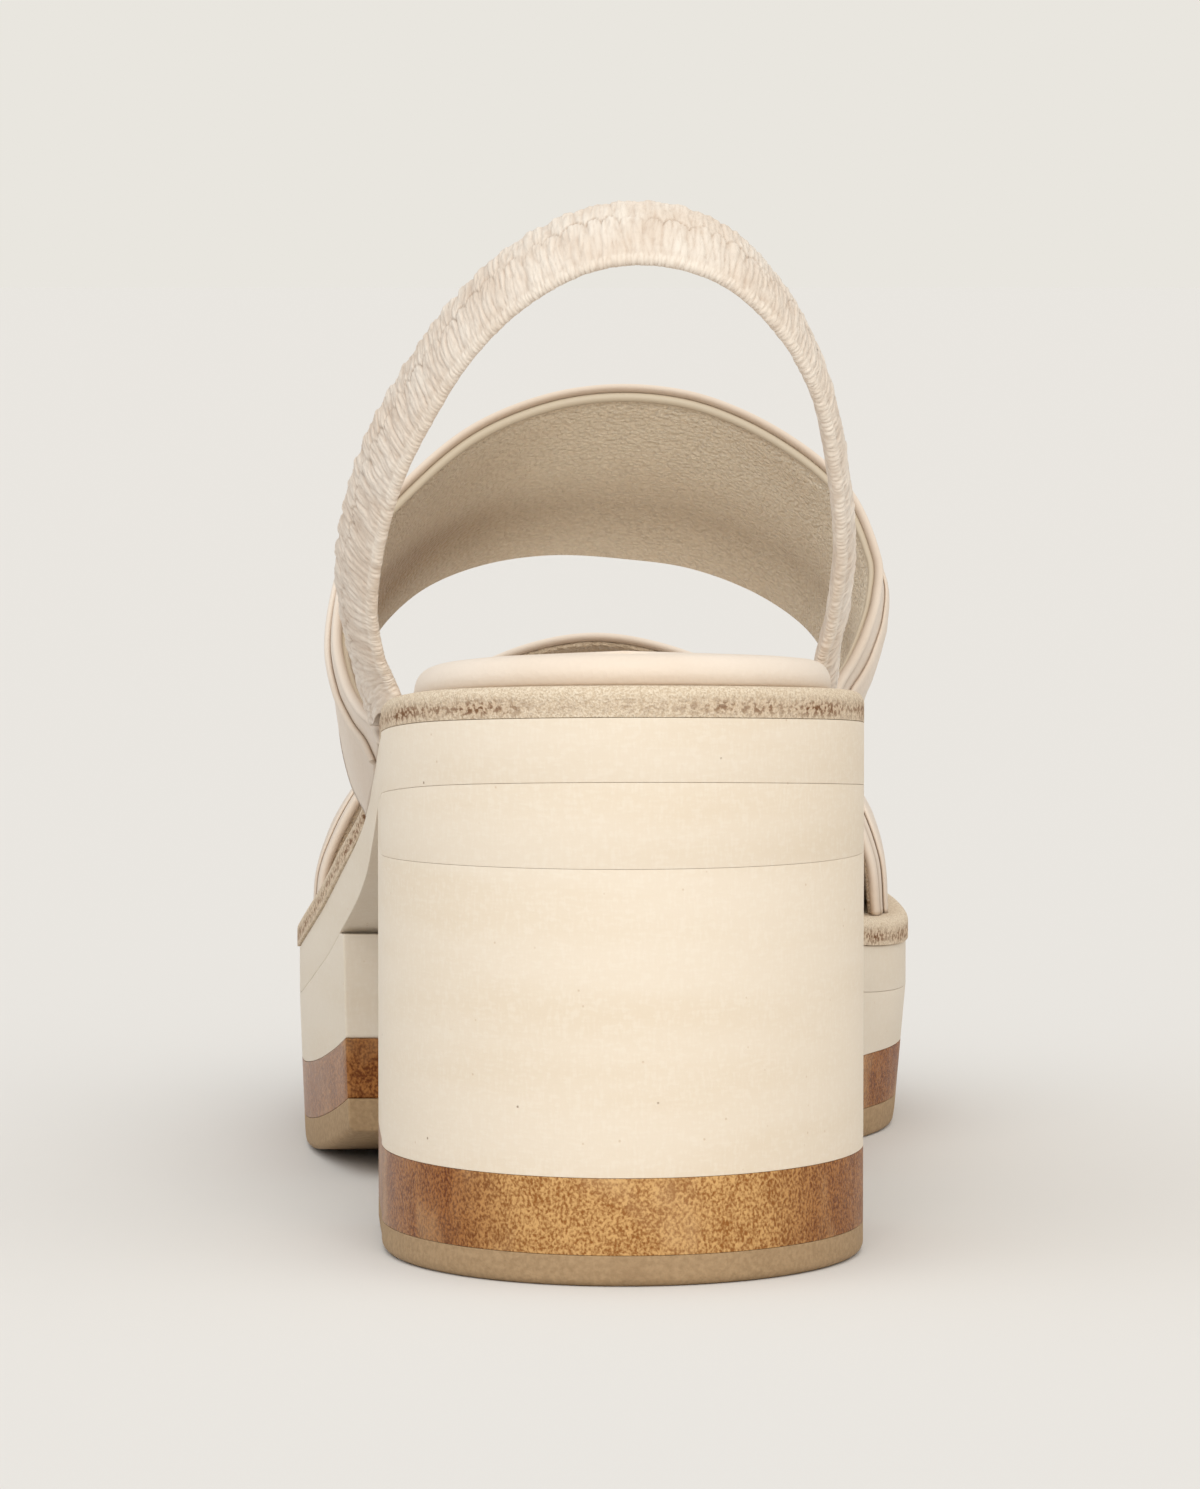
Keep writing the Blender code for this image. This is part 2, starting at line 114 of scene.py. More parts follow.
def breadth(y, side):
    """Half breadth of the sole on one side.

    The table's curve, times a half ellipse over the heel's first 38 mm and, over the toe, a
    squarer oval: the root of 1 minus the distance ahead to the power 2.3.
    """
    behind = np.clip(1 - y / HEEL_ROUND, 0, 1)
    ahead = np.clip((y - LENGTH) / TOE_ROUND[side] + 1, 0, 1)
    oval = (1 - ahead**TOE_POWER) ** (1 / TOE_POWER)
    return table_at(BREADTH, y, 1 if side < 0 else 2) * np.sqrt(1 - behind**2) * oval


def edge_points(y, side, inset):
    """x and y of points inside the sole's edge.

    Each starts on the edge at its y and goes in by its inset, square to the edge's slope.
    """
    step = 1e-4
    slope = (breadth(y + step, side) - breadth(y - step, side)) / (2 * step)
    long = np.hypot(1, slope)
    at_tip = breadth(y, side) < 1e-6
    aside = np.where(at_tip, 0, 1 / long)
    ahead = np.where(at_tip, np.where(y < LENGTH / 2, 1, -1), slope / long)
    return side * (breadth(y, side) - inset * aside), y + inset * ahead


def tread(y):
    """Height of the forefoot's tread: two arcs of a circle that touch a flat between them."""
    behind = np.clip(FLAT_BACK - y, 0, ROCKER_RADIUS)
    ahead = np.clip(y - FLAT_FRONT, 0, SPRING_RADIUS)
    rocker = ROCKER_RADIUS - np.sqrt(ROCKER_RADIUS**2 - behind**2)
    spring = SPRING_RADIUS - np.sqrt(SPRING_RADIUS**2 - ahead**2)
    return rocker + spring


def raised(height, y, depth):
    """A height moved up by a depth measured square to its slope."""
    slope = height(y + 0.5) - height(y - 0.5)
    return height(y) + depth * np.hypot(1, slope)


def rubber_top(y):
    """Seam between the rubber and the leather runner above it."""
    return raised(tread, y, RUBBER)


def draft(up):
    """How far the platform's wall leans in at a height over the tread.

    It leans in most at the tread and not at all at the midsole, and more on the medial side.
    """

    def value(y, side):
        skew = DRAFT_SKEW * side * np.minimum(1, breadth(y, side) / BREADTH[0][1])
        return (PLATFORM_DRAFT + skew) * (1 - up / PLATFORM_DEPTH)

    return value


def under(face):
    """A layer's top face where the next layer lies on it: a hairline below that one."""
    return lambda y: face(y) - SEAM


def flat_end(y, end, ease):
    """Stations up to a flat end face whose rim is rounded, and how far each is drawn in.

    The last stations follow a quarter circle of radius ease; one more lies within the face.
    """
    turn = np.radians(np.linspace(0, 90, 6))
    toward = 1 if end > y.mean() else -1
    kept = y[(end - y) * toward > ease * 1.5]
    round_y = end - toward * ease * (1 - np.sin(turn))
    round_in = ease * (1 - np.cos(turn))
    stations = np.concatenate([kept, round_y, [end]] if toward > 0 else [[end], round_y[::-1], kept])
    drawn = np.concatenate([np.zeros(len(kept)), round_in, [ease + RIM_FACE]])
    return stations, drawn if toward > 0 else drawn[::-1]


def rounded_wall(low_ease, high_ease, steps=4, middle=(0.5,)):
    """Rows of a layer's wall, bottom to top: share of the height, inset, rise.

    Both rims are quarter circles, and one row more holds the flat faces beside them.
    """
    turn = np.radians(np.linspace(0, 90, steps + 1))
    flat = np.zeros_like(turn)
    low = np.stack([flat, low_ease * (1 - np.sin(turn)), low_ease * (1 - np.cos(turn))], -1)
    high = np.stack([flat + 1, high_ease * (1 - np.sin(turn)), -high_ease * (1 - np.cos(turn))], -1)
    first = [(0, low_ease + RIM_FACE, 0)]
    last = [(1, high_ease + RIM_FACE, 0)]
    wall = [(share, 0, 0) for share in middle]
    return np.concatenate([first, low, wall, high[::-1], last])


def flush(y, side):
    """An inset of nothing: the wall stands on the sole's edge."""
    return np.zeros_like(y)


def layer_grid(y, drawn, low, high, rows, low_inset=flush, high_inset=flush, top=None):
    """Rings across a layer of the sole, one at each y.

    A ring climbs the lateral wall, crosses the top and comes down the medial wall. A point's
    inset goes from low_inset to high_inset with its share of the height, plus its row's own;
    its height is read from the two faces where it then lies. top gives shares of the way
    across and rises of more points on the top face.
    """
    share, inward, rise = (column[None, :] for column in np.array(rows, float).T)
    drawn = drawn[:, None]
    walls = {}
    for side in (-1, 1):
        inset = low_inset(y, side)[:, None] * (1 - share) + high_inset(y, side)[:, None] * share
        x, at = edge_points(y[:, None], side, inset + inward + drawn)
        at = np.where(drawn > 0, y[:, None], at)
        floor = low(at) + drawn
        z = floor + (high(at) - drawn - floor) * share + rise
        walls[side] = np.stack([x, at, z], -1)
    parts = [walls[-1], walls[1][:, ::-1]]
    if top is not None:
        across = top[0][None, :, None]
        bridge = walls[-1][:, -1:] * (1 - across) + walls[1][:, -1:] * across
        bridge[..., 2] += top[1]
        parts.insert(1, bridge)
    return np.concatenate(parts, axis=1)


def leaned(grid):
    """Points moved up or down where the seat leans to the lateral side.

    The shift grows with x and has the shape of a bell along y. It comes in over a ramp above
    the lower of two heights and goes out again over a ramp below the upper one.
    """
    x, y, z = grid[..., 0], grid[..., 1], grid[..., 2]
    low, high = LEAN_HEIGHTS
    step = np.clip((z - low) / LEAN_RAMP, 0, 1) * np.clip((high - z) / LEAN_RAMP, 0, 1)
    bell = np.exp(-(((y - LEAN_AT) / LEAN_REACH) ** 2))
    return np.stack([x, y, z + LEAN * x / BREADTH[0][1] * bell * step], -1)


def placed(name, data):
    """A new object in the scene."""
    thing = bpy.data.objects.new(name, data)
    bpy.context.scene.collection.objects.link(thing)
    return thing


def solid(name, grid, **stored):
    """One closed mesh over a grid of points in millimetres.

    The grid's second axis runs round in a ring. Its first and last rings are closed by a face,
    or by merging where they have shrunk to an edge. Numbers or vectors for the finish to read
    are stored with the points.
    """
    count, around = grid.shape[:2]
    index = np.arange(count * around).reshape(count, around)
    after = np.roll(index, -1, axis=1)
    faces = np.stack([index[:-1], after[:-1], after[1:], index[1:]], -1).reshape(-1, 4).tolist()
    for end in (0, -1):
        if np.ptp(grid[end, :, 0]) > 1e-3:
            faces.append(index[end].tolist())
    mesh = bpy.data.meshes.new(name)
    points = leaned(grid.reshape(-1, 3)) - (0, LENGTH / 2, 0)
    mesh.from_pydata((points * MM).tolist(), [], faces)
    for key, values in stored.items():
        kind, field = ("FLOAT", "value") if values.ndim == 2 else ("FLOAT_VECTOR", "vector")
        mesh.attributes.new(key, kind, "POINT")
        mesh.attributes[key].data.foreach_set(field, values.astype(np.float32).ravel())
    shape = bmesh.new()
    shape.from_mesh(mesh)
    bmesh.ops.remove_doubles(shape, verts=shape.verts, dist=1e-8)
    bmesh.ops.recalc_face_normals(shape, faces=shape.faces)
    shape.to_mesh(mesh)
    shape.free()
    mesh.shade_smooth()
    return placed(name, mesh)


class Value:
    """A socket's number in a tree of nodes: + - and * add Math nodes to the tree."""

    def __init__(self, nodes, socket):
        self.nodes = nodes
        self.socket = socket

    def __add__(self, other):
        return self.nodes.math("ADD", self, other)

    def __sub__(self, other):
        return self.nodes.math("SUBTRACT", self, other)

    def __mul__(self, other):
        return self.nodes.math("MULTIPLY", self, other)

    def __radd__(self, other):
        return self.nodes.math("ADD", other, self)

    def __rsub__(self, other):
        return self.nodes.math("SUBTRACT", other, self)

    def __rmul__(self, other):
        return self.nodes.math("MULTIPLY", other, self)

    def step(self, low, high):
        """A soft step from 0 at low to 1 at high; low may be the larger of the two."""
        inputs = {"Value": self, "From Min": low, "From Max": high}
        settings = {"interpolation_type": "SMOOTHSTEP"}
        return self.nodes.node("ShaderNodeMapRange", settings, inputs)


def swatch(red, green, blue):
    """A colour given as on a printed swatch, 0 to 255, in linear light."""
    shares = np.array([red, green, blue]) / 255
    linear = np.where(shares > 0.04045, ((shares + 0.055) / 1.055) ** 2.4, shares / 12.92)
    return (*linear.tolist(), 1.0)


def socket_name(word):
    """The shader's socket that a keyword stands for."""
    return word.replace("_", " ").title().replace("Ior", "IOR")


class Nodes:
    """A tree of shader nodes, for a finish or for the sky."""

    def __init__(self, tree):
        self.tree = tree

    def give(self, socket, value):
        """Links a value to a socket, or sets the socket to a plain number or colour."""
        if isinstance(value, Value):
            self.tree.links.new(value.socket, socket)
        else:
            socket.default_value = value

    def node(self, kind, settings=(), inputs=(), output=0):
        """Adds a node: its settings first, then the values or links of its sockets."""
        made = self.tree.nodes.new(kind)
        for key, value in dict(settings).items():
            setattr(made, key, value)
        for key, value in dict(inputs).items():
            self.give(made.inputs[key], value)
        return Value(self, made.outputs[output])

    def math(self, operation, first, second):
        """One Math node."""
        return self.node("ShaderNodeMath", {"operation": operation}, {0: first, 1: second})

    def mix(self, first, second, share):
        """A colour between two others."""
        return self.node("ShaderNodeMix", {"data_type": "RGBA"}, {0: share, 6: first, 7: second}, 2)

    def along(self, vector, axis):
        """One coordinate of a vector."""
        return self.node("ShaderNodeSeparateXYZ", inputs={0: vector}, output=axis)


class Finish(Nodes):
    """One material: a Principled shader and the nodes that feed it."""

    def __init__(self, name, **settings):
        self.material = bpy.data.materials.new(name)
        self.material.use_nodes = True
        super().__init__(self.material.node_tree)
        self.shader = self.tree.nodes["Principled BSDF"]
        self.feed(**settings)
        self.place = self.node("ShaderNodeTexCoord", output="Object")

    def texture(self, kind, size, stretch, shift=0.0, output=0, **inputs):
        """A texture with blobs or cells about size millimetres across."""
        mapping = {"Vector": self.place, "Scale": stretch, "Location": (shift, shift, shift)}
        place = self.node("ShaderNodeMapping", inputs=mapping)
        inputs = {"Vector": place, "Scale": 1000 / size, **inputs}
        return self.node(kind, inputs=inputs, output=output)

    def cloud(self, size, detail=2.0, stretch=(1, 1, 1), shift=0.0):
        """Soft noise, from 0 to 1 round a half."""
        return self.texture("ShaderNodeTexNoise", size, stretch, shift, Detail=detail)

    def cells(self, size, output="Distance", stretch=(1, 1, 1)):
        """Cells: the distance from a cell's point, or its colour."""
        return self.texture("ShaderNodeTexVoronoi", size, stretch, output=output)

    def dots(self, size, full, gone, few, all_of_them):
        """Small spots, one in some of the cells of a size.

        A spot is solid out to the distance full from its cell's point and gone at gone; cells
        whose chance lies below few have none.
        """
        chance = self.node("ShaderNodeSeparateColor", inputs={0: self.cells(size, "Color")})
        spot = 1 - self.cells(size).step(full, gone)
        return spot * chance.step(few, all_of_them)

    def read(self, attribute, output="Fac"):
        """A number or vector stored on the mesh."""
        return self.node("ShaderNodeAttribute", {"attribute_name": attribute}, output=output)

    def feed(self, **inputs):
        """Gives the shader's sockets their values or links."""
        for key, value in inputs.items():
            self.give(self.shader.inputs[socket_name(key)], value)

    def emboss(self, height, depth):
        """Relief of a given depth in millimetres under the gloss."""
        inputs = {"Height": height, "Distance": depth * MM}
        self.feed(normal=self.node("ShaderNodeBump", inputs=inputs))


def fit(piece, finish, slot, *nodes):
    """Gives a piece its finish, fixes it to the sandal and lets it stand for its CAD solids."""
    piece.data.materials.append(finish.material)
    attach(piece, "root")
    if nodes:
        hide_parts(*nodes)


rubber = Finish("tan_rubber", roughness=0.75, specular_ior_level=0.35)
speckle = rubber.cloud(0.7, 3)
shade = rubber.mix(swatch(156, 129, 96), swatch(171, 143, 109), speckle.step(0.3, 0.7))
scuff = rubber.cloud(9, 4).step(0.52, 0.75)
rubber.feed(base_color=rubber.mix(shade, swatch(150, 122, 90), scuff * 0.4))
rubber.emboss(rubber.cloud(0.5, 4) + rubber.cloud(3.0, 2) * 0.6, 0.12)

front_y = PLATFORM_BACK + (LENGTH - PLATFORM_BACK) * np.sin(np.linspace(0, math.pi / 2, 180))
front_y, front_drawn = flat_end(front_y, PLATFORM_BACK, PLATFORM_RIM)
sole_rows = rounded_wall(TREAD_RIM, CUT_RIM)
sole_drafts = draft(0.0), draft(RUBBER)
sole_grid = layer_grid(front_y, front_drawn, tread, under(rubber_top), sole_rows, *sole_drafts)
fit(solid("forefoot_rubber", sole_grid), rubber, "tan_rubber", "forefoot_outsole")

# ---- Forefoot runner ----
# A band of brown-burnished sole leather 8 mm deep between the rubber and the platform. Its cut
# edge is stained and waxed, so the fibres show as fine golden and dark grains; the colour is
# darker and redder towards the sides, and the lateral walls have a gloss of wax.

RUNNER = 8.0
RUNNER_RIM = 0.1
SIDE_TONE_MIDDLE = 2.5
SIDE_TONE_FADE = (100.0, 650.0)  # squares of the distances where the golden part ends and is gone


def runner_top(y):
    """Seam between the runner and the painted platform."""
    return raised(tread, y, RUBBER + RUNNER)


brown = Finish("brown_leather", coat_roughness=0.3, specular_ior_level=0.12)
grain = brown.cloud(0.37, 4, (1, 1, 0.85)) * 0.78 + brown.cloud(2.4, 3, (1, 1, 0.7)) * 0.22
fibres = grain.step(0.355, 0.635)
patches = brown.cloud(26, 4, (1, 1, 0.8), 0.013).step(0.36, 0.64)
sideways = brown.along(brown.place, "X")
forward = brown.along(brown.place, "Y")
aside = sideways - SIDE_TONE_MIDDLE * MM
side_tone = (aside * aside).step(SIDE_TONE_FADE[0] * MM**2, SIDE_TONE_FADE[1] * MM**2)
side_tone = side_tone * 0.85 + patches * 0.15
golden = brown.mix(swatch(146, 94, 44), swatch(213, 170, 112), fibres)
ruddy = brown.mix(swatch(96, 46, 16), swatch(156, 98, 48), fibres)
# Painted glare: soft pale patches where the light is reflected.
painted_glare = brown.cloud(11, 3, (1, 1, 0.7), 0.031).step(0.5, 0.72)
tan = brown.mix(brown.mix(golden, ruddy, side_tone), swatch(212, 176, 130), painted_glare * 0.33)
brown.feed(base_color=tan, roughness=0.5 - brown.cloud(1.2) * 0.2)
walls = forward.step(-0.05, -0.06) + forward.step(-0.0118, -0.0095)
brown.feed(coat_weight=walls * sideways.step(-0.018, -0.034) * 0.4)
brown.emboss(fibres, 0.05)

runner_grid = layer_grid(
    front_y,
    front_drawn,
    rubber_top,
    under(runner_top),
    rounded_wall(CUT_RIM, RUNNER_RIM),
    draft(RUBBER),
    draft(RUBBER + RUNNER),
)
fit(solid("forefoot_runner_band", runner_grid), brown, "brown_leather", "forefoot_runner")

# ---- Platform block ----
# The filler that makes the platform's height, sanded flush with the midsole and painted cream.
# The paint is thin and matt: the grain below shows through, with pits and fine scratches.

SEAT = (  # y, height of the midsole's top before the toe spring
    (0, 70.8), (20, 69.05), (40, 66.75), (60, 63.15), (80, 57.35), (95, 50.4), (110, 42.7),
    (125, 35.7), (145, 29.6), (165, 27.6), (185, 27.6), (243, 27.6),
)
MIDSOLE = ((0, 8.0), (30, 8.0), (60, 7.1), (80, 7.3), (110, 7.1), (150, 6.7), (243, 6.7))
REAR_GAP = 0.95  # how far the filler's top is sloped off at its open rear end
REAR_GAP_REACH = 2.2
REAR_GAP_SLOPE = 1.8


def seat(y):
    """Top of the midsole: the table's curve, lifted by the toe spring ahead of the ball."""
    return table_at(SEAT, y) + np.where(y > FLAT_FRONT, tread(y), 0)


def midsole_bottom(y):
    """Underside of the midsole: the seat, lowered by the midsole's thickness."""
    return raised(seat, y, -table_at(MIDSOLE, y))


painted = Finish("painted_cream", specular_ior_level=0.3)
weave = painted.cloud(0.45, 2, (1, 1, 0.3)) + painted.cloud(0.45, 2, (0.3, 0.3, 1), 3.0)
bands = painted.cloud(16, 3, (0.3, 0.3, 2.0)).step(0.35, 0.7)
tint = painted.mix(swatch(230, 217, 199), swatch(226, 211, 190), bands)
tint = painted.mix(tint, swatch(236, 226, 211), weave.step(0.9, 1.3) * 0.4)
# Painted shade: the cream turns greyer towards the forefoot, which lies farther from the light.
far_shade = painted.along(painted.place, "Y").step(-0.065, -0.01)
tint = painted.mix(tint, swatch(205, 197, 184), far_shade * 0.35)
freckles = painted.dots(2.6, 0.02, 0.09, 0.6, 0.7)
tint = painted.mix(tint, swatch(196, 168, 138), freckles * 0.5)
pits = painted.dots(6.0, 0.015, 0.04, 0.62, 0.66)
tint = painted.mix(tint, swatch(138, 112, 84), pits * 0.75)
painted.feed(base_color=tint, roughness=0.5 + weave * 0.1)
painted.emboss(weave * 0.5 - pits * 2 - freckles * 0.6, 0.04)


def block_top(y):
    """Top of the platform's filler: under the midsole, but sloped off at its open rear end."""
    slope = np.clip((PLATFORM_BACK + REAR_GAP_REACH - y) / REAR_GAP_SLOPE, 0, 1)
    return midsole_bottom(y) - SEAM - REAR_GAP * slope


block_rows = rounded_wall(RUNNER_RIM, RUNNER_RIM)
block_grid = layer_grid(
    front_y, front_drawn, runner_top, block_top, block_rows, draft(RUBBER + RUNNER)
)
fit(solid("platform_filler", block_grid), painted, "painted_cream", "platform_block")

# ---- Heel top piece ----
# The rubber pad that the heel treads on: 4 mm of the same tan rubber, its lower rim worn round.

HEEL_BREAST = 61.0
BREAST_RIM = 0.4
TOP_PIECE = 3.95
TOP_PIECE_RIM = 1.3


def level(z):
    """A face at one height all over."""
    return lambda y: np.full_like(y, z)


heel_y = HEEL_BREAST * (1 - np.cos(np.linspace(0, math.pi / 2, 120)))
heel_y, heel_drawn = flat_end(heel_y, HEEL_BREAST, BREAST_RIM)
pad_rows = rounded_wall(TOP_PIECE_RIM, CUT_RIM, 6)
pad_grid = layer_grid(heel_y, heel_drawn, level(0.0), level(TOP_PIECE - SEAM), pad_rows)
fit(solid("heel_tread_pad", pad_grid), rubber, "tan_rubber", "heel_top_piece")

# ---- Heel lift ----
# A stack of brown-burnished leather 9.6 mm deep between the top piece and the painted heel.

LIFT_TOP = 13.6

lift_rows = rounded_wall(CUT_RIM, CUT_RIM)
lift_grid = layer_grid(heel_y, heel_drawn, level(TOP_PIECE), level(LIFT_TOP - SEAM), lift_rows)
fit(solid("heel_leather_lift", lift_grid), brown, "brown_leather", "heel_lift")

# ---- Heel block and wedge ----
# The block heel and the wedge that fills the gap up to the midsole, both shaped together and
# painted with the platform. The seam between them falls gently towards the breast.

WEDGE_BOTTOM = 52.0
WEDGE_FALL = 0.02
WEDGE_RIMS = (0.03, 0.05)  # low and high edge; the paint fills the lower seam nearly flush


def wedge_bottom(y):
    """Seam between wedge and block: a straight line that falls with y."""
    return WEDGE_BOTTOM - WEDGE_FALL * y


heel_rows = rounded_wall(CUT_RIM, WEDGE_RIMS[0])
heel_grid = layer_grid(heel_y, heel_drawn, level(LIFT_TOP), under(wedge_bottom), heel_rows)
fit(solid("heel_core", heel_grid), painted, "painted_cream", "heel_block")
wedge_rows = rounded_wall(*WEDGE_RIMS)
wedge_grid = layer_grid(heel_y, heel_drawn, wedge_bottom, under(midsole_bottom), wedge_rows)
fit(solid("heel_filler", wedge_grid), painted, "painted_cream", "heel_wedge")

# ---- Midsole ----
# One bent layer from heel to toe that carries everything above. It is glued over wedge and
# filler, and its edge is painted cream with them.

MIDSOLE_RIMS = (0.08, 0.15)
BOARD_SEAM = 0.03

whole_y = LENGTH * (1 - np.cos(np.linspace(0, math.pi, 300))) / 2
undrawn = np.zeros_like(whole_y)
midsole_grid = layer_grid(
    whole_y, undrawn, midsole_bottom, lambda y: seat(y) - BOARD_SEAM, rounded_wall(*MIDSOLE_RIMS)
)
fit(solid("midsole_layer", midsole_grid), painted, "painted_cream", "midsole")

# ---- Insole board ----
# The insole: 4 mm of vegetable-tanned leather whose edge is left raw, sanded round at the top.
# It is notched on both sides for the instep band, whose ends are glued over the midsole there.

BOARD = 4.0
BOARD_RIMS = (0.1, 1.5)
NOTCH = 2.7
NOTCH_SPAN = {-1: (50.5, 96.0), 1: (68.5, 101.5)}
NOTCH_RAMP = 1.5
OVERHANG = 0.35
OVERHANG_RAMP = 14.0
STAIN_HEIGHT = 1.3  # where the edge is stained darkest, and how far that reaches up and down
STAIN_SPREAD = 1.1
PALE_MIDDLE = -2.0  # x of the middle of a paler stretch at the rear
PALE_HALF = 16.0
PALE_RAMP = 8.0
PALE_END = 20.0


def board_top(y):
    """Top of the insole board."""
    return seat(y) + BOARD


def notched(y, side):
    """The board's inset: a notch with steep ends, and a slight overhang ahead of it."""
    start, end = NOTCH_SPAN[side]
    ramp = np.minimum((y - start) / NOTCH_RAMP, (end - y) / NOTCH_RAMP)
    return NOTCH * np.clip(ramp, 0, 1) - OVERHANG * np.clip((y - end) / OVERHANG_RAMP, 0, 1)


raw = Finish("raw_leather", roughness=0.9, specular_ior_level=0.2)
fuzz = raw.cloud(0.28, 4)
flecks = raw.cloud(0.75, 4, (1, 1, 1.2), 7.0).step(0.44, 0.6)
patches = raw.cloud(7, 3, (1, 1, 0.5), 2.0).step(0.35, 0.6)
hide = raw.mix(swatch(210, 190, 164), swatch(236, 221, 199), fuzz.step(0.35, 0.65))
stain = (0.6 + patches * 0.4) * raw.read("crease")
hide = raw.mix(hide, swatch(200, 170, 140), stain * 0.6)
raw.feed(base_color=raw.mix(hide, swatch(122, 84, 54), flecks * stain))
raw.emboss(fuzz + raw.cloud(0.9, 3, shift=4.0) * 0.8, 0.3)

corners = [np.linspace(end - 2, end + 2, 9) for span in NOTCH_SPAN.values() for end in span]
board_y = np.sort(np.concatenate([whole_y, *corners]))
board_rows = rounded_wall(*BOARD_RIMS, 7, (0.12, 0.22, 0.32, 0.42, 0.52))
board_drawn = np.zeros_like(board_y)
board_grid = layer_grid(
    board_y, board_drawn, lambda y: seat(y) + SEAM / 2, board_top, board_rows, notched, notched
)
up = board_rows[:, 0] * BOARD + board_rows[:, 2]
stained = np.exp(-(((up - STAIN_HEIGHT) / STAIN_SPREAD) ** 2)) * (board_rows[:, 1] < 1)
stained = np.broadcast_to(np.concatenate([stained, stained[::-1]]), board_grid.shape[:2])
from_middle = np.abs(board_grid[..., 0] - PALE_MIDDLE)
pale = np.clip((PALE_HALF - from_middle) / PALE_RAMP, 0, 1) * (board_grid[..., 1] < PALE_END)
stained = stained * (1 - 0.7 * pale)
fit(solid("insole_layer", board_grid, crease=stained), raw, "raw_leather", "insole_board")

# ---- Footbed ----
# The sock that the foot stands on: cream leather drawn over 4 mm of foam and glued down, so it
# is a low pad with a full round side and a barely crowned top.

FOOTBED_CROWN = 0.3
FOOTBED_EDGE = (  # y, inset from the sole's edge: lateral, medial
    (0, 4.3, 4.3), (120, 4.3, 4.3), (135, 4.4, 4.4), (152, 5.0, 5.9), (175, 5.0, 6.1),
    (200, 5.0, 6.1), (215, 4.6, 4.8), (243, 4.4, 4.4),
)
FOOTBED_SIDE = (  # share of the way round the side, inset, rise over the board
    (0.0, 0.45, 0.05), (0.25, 0.1, 0.45), (0.5, 0.0, 1.5), (0.7, 0.3, 2.6), (0.85, 1.0, 3.5),
    (0.95, 2.1, 4.0), (1.0, 3.9, 4.2),
)
FOOTBED_UNDER = (0, 1.5, 0.05)  # the first row, on the underside
FOOTBED_SHADE = 1.8  # how high the darker foot of the side reaches


def footbed_edge(y, side):
    """The footbed's inset from the sole's edge."""
    return table_at(FOOTBED_EDGE, y, 1 if side < 0 else 2)


leather = Finish("cream_leather", specular_ior_level=0.4)
grain = leather.cells(0.9) + leather.cloud(0.4, 3) * 0.5
bloom = leather.cloud(18, 2).step(0.35, 0.65)
hue = leather.mix(swatch(233, 220, 206), swatch(228, 213, 197), bloom)
# Painted shade: darker where the stored shade is high, under rolls, in grooves, near the feet and at
# the foot of the footbed's side.
hue = leather.mix(hue, swatch(150, 122, 94), leather.read("crease") * 0.8)
leather.feed(base_color=hue, roughness=0.42 + grain * 0.1)
leather.emboss(grain, 0.04)

around = np.linspace(0, 1, 20)
side_rows = np.zeros((len(around) + 1, 3))
side_rows[0] = FOOTBED_UNDER
side_rows[1:, 1] = table_at(FOOTBED_SIDE, around, 1)
side_rows[1:, 2] = table_at(FOOTBED_SIDE, around, 2)
across = np.linspace(0.04, 0.96, 13)
crown = FOOTBED_CROWN * 4 * across * (1 - across)
footbed_grid = layer_grid(
    whole_y, undrawn, board_top, board_top, side_rows, footbed_edge, footbed_edge, (across, crown)
)
over_board = footbed_grid[..., 2] - board_top(footbed_grid[..., 1])
shade = np.clip(1 - over_board / FOOTBED_SHADE, 0, 1) * 0.3
footbed = solid("padded_footbed", footbed_grid, crease=shade)
fit(footbed, leather, "cream_leather", "footbed")

# ---- Instep band ----
# The wide band over the instep: cream leather folded into overlapping plies, each with a rolled
# edge. The rear ply turns in over the lining, and both ends are glued down beside the board.

GLUE = 0.3
END_GLUE = GLUE * 0.3
FOOT_FADE = 0.5
FOOT_POWER = 4  # painted shade near a foot: the distance from the middle to this power
PLY_DEPTH = 1.12  # depths below the band's outer face: of the rear roll, of the underside
PLY_UNDERSIDE = 1.1
LINING_ROLL = 1.08  # and of the lining: top of its roll, outer face, front roll, inner face
LINING_OUTER = 1.18
LINING_FRONT = 1.75
LINING_INNER = 2.3
LINING_HOLLOW = 2.0  # where the lining lies deeper than this, it takes painted shade as a hollow
ROLL_THICK = (0.38, 0.34)  # half the rear roll's thickness: a constant, a share of its radius
NOSE_AHEAD = 0.6  # a ply's own edge: how far its roll reaches ahead of its line, and its radius
NOSE = 0.85
BEHIND_ROLL = (  # distance ahead in radii of the roll, share of its height, painted shade
    (0.25, 1.0, 0), (0.5, 0.92, 0), (0.8, 0.55, 0.2), (1.15, 0.02, 0.9), (1.6, -0.12, 1.0),
    (2.1, 0.12, 0.5), (2.8, 0.3, 0.1),
)
BEHIND_NOSE = (  # distance ahead in millimetres, share of the edge's height, painted shade
    (0.4, 0.98, 0), (0.9, 0.86, 0), (1.5, 0.62, 0), (2.1, 0.4, 0), (2.8, 0.26, 0),
    (3.6, 0.2, 0), (4.4, 0.2, 0),
)
INSTEP_STEPS = 420
INSTEP_FEET = {-1: (53.5, 92.5), 1: (66.5, 97.0)}
INSTEP_INSET = {-1: (0.0, 0.0), 1: (2.6, 0.0)}
INSTEP_CROWN = 1.0
INSTEP_REAR = (  # x, y, z of the rear edge, lateral foot to medial foot
    (-32.5, 59.5, 66.9), (-34.4, 66.5, 68.2), (-36.4, 74.5, 71.1), (-37.8, 82.5, 76.2),
    (-37.4, 89.5, 82.5), (-35.6, 96.5, 89.0), (-30.2, 104.5, 95.6), (-20.0, 113.5, 104.2),
    (-9.0, 118.5, 108.8), (2.0, 120.0, 110.2), (13.0, 118.8, 108.7), (24.0, 113.5, 103.7),
    (32.4, 105.5, 96.6), (36.4, 94.5, 87.0), (35.9, 88.5, 81.5), (34.3, 83.5, 77.2),
    (32.4, 79.0, 73.8), (30.2, 73.5, 70.8),
)
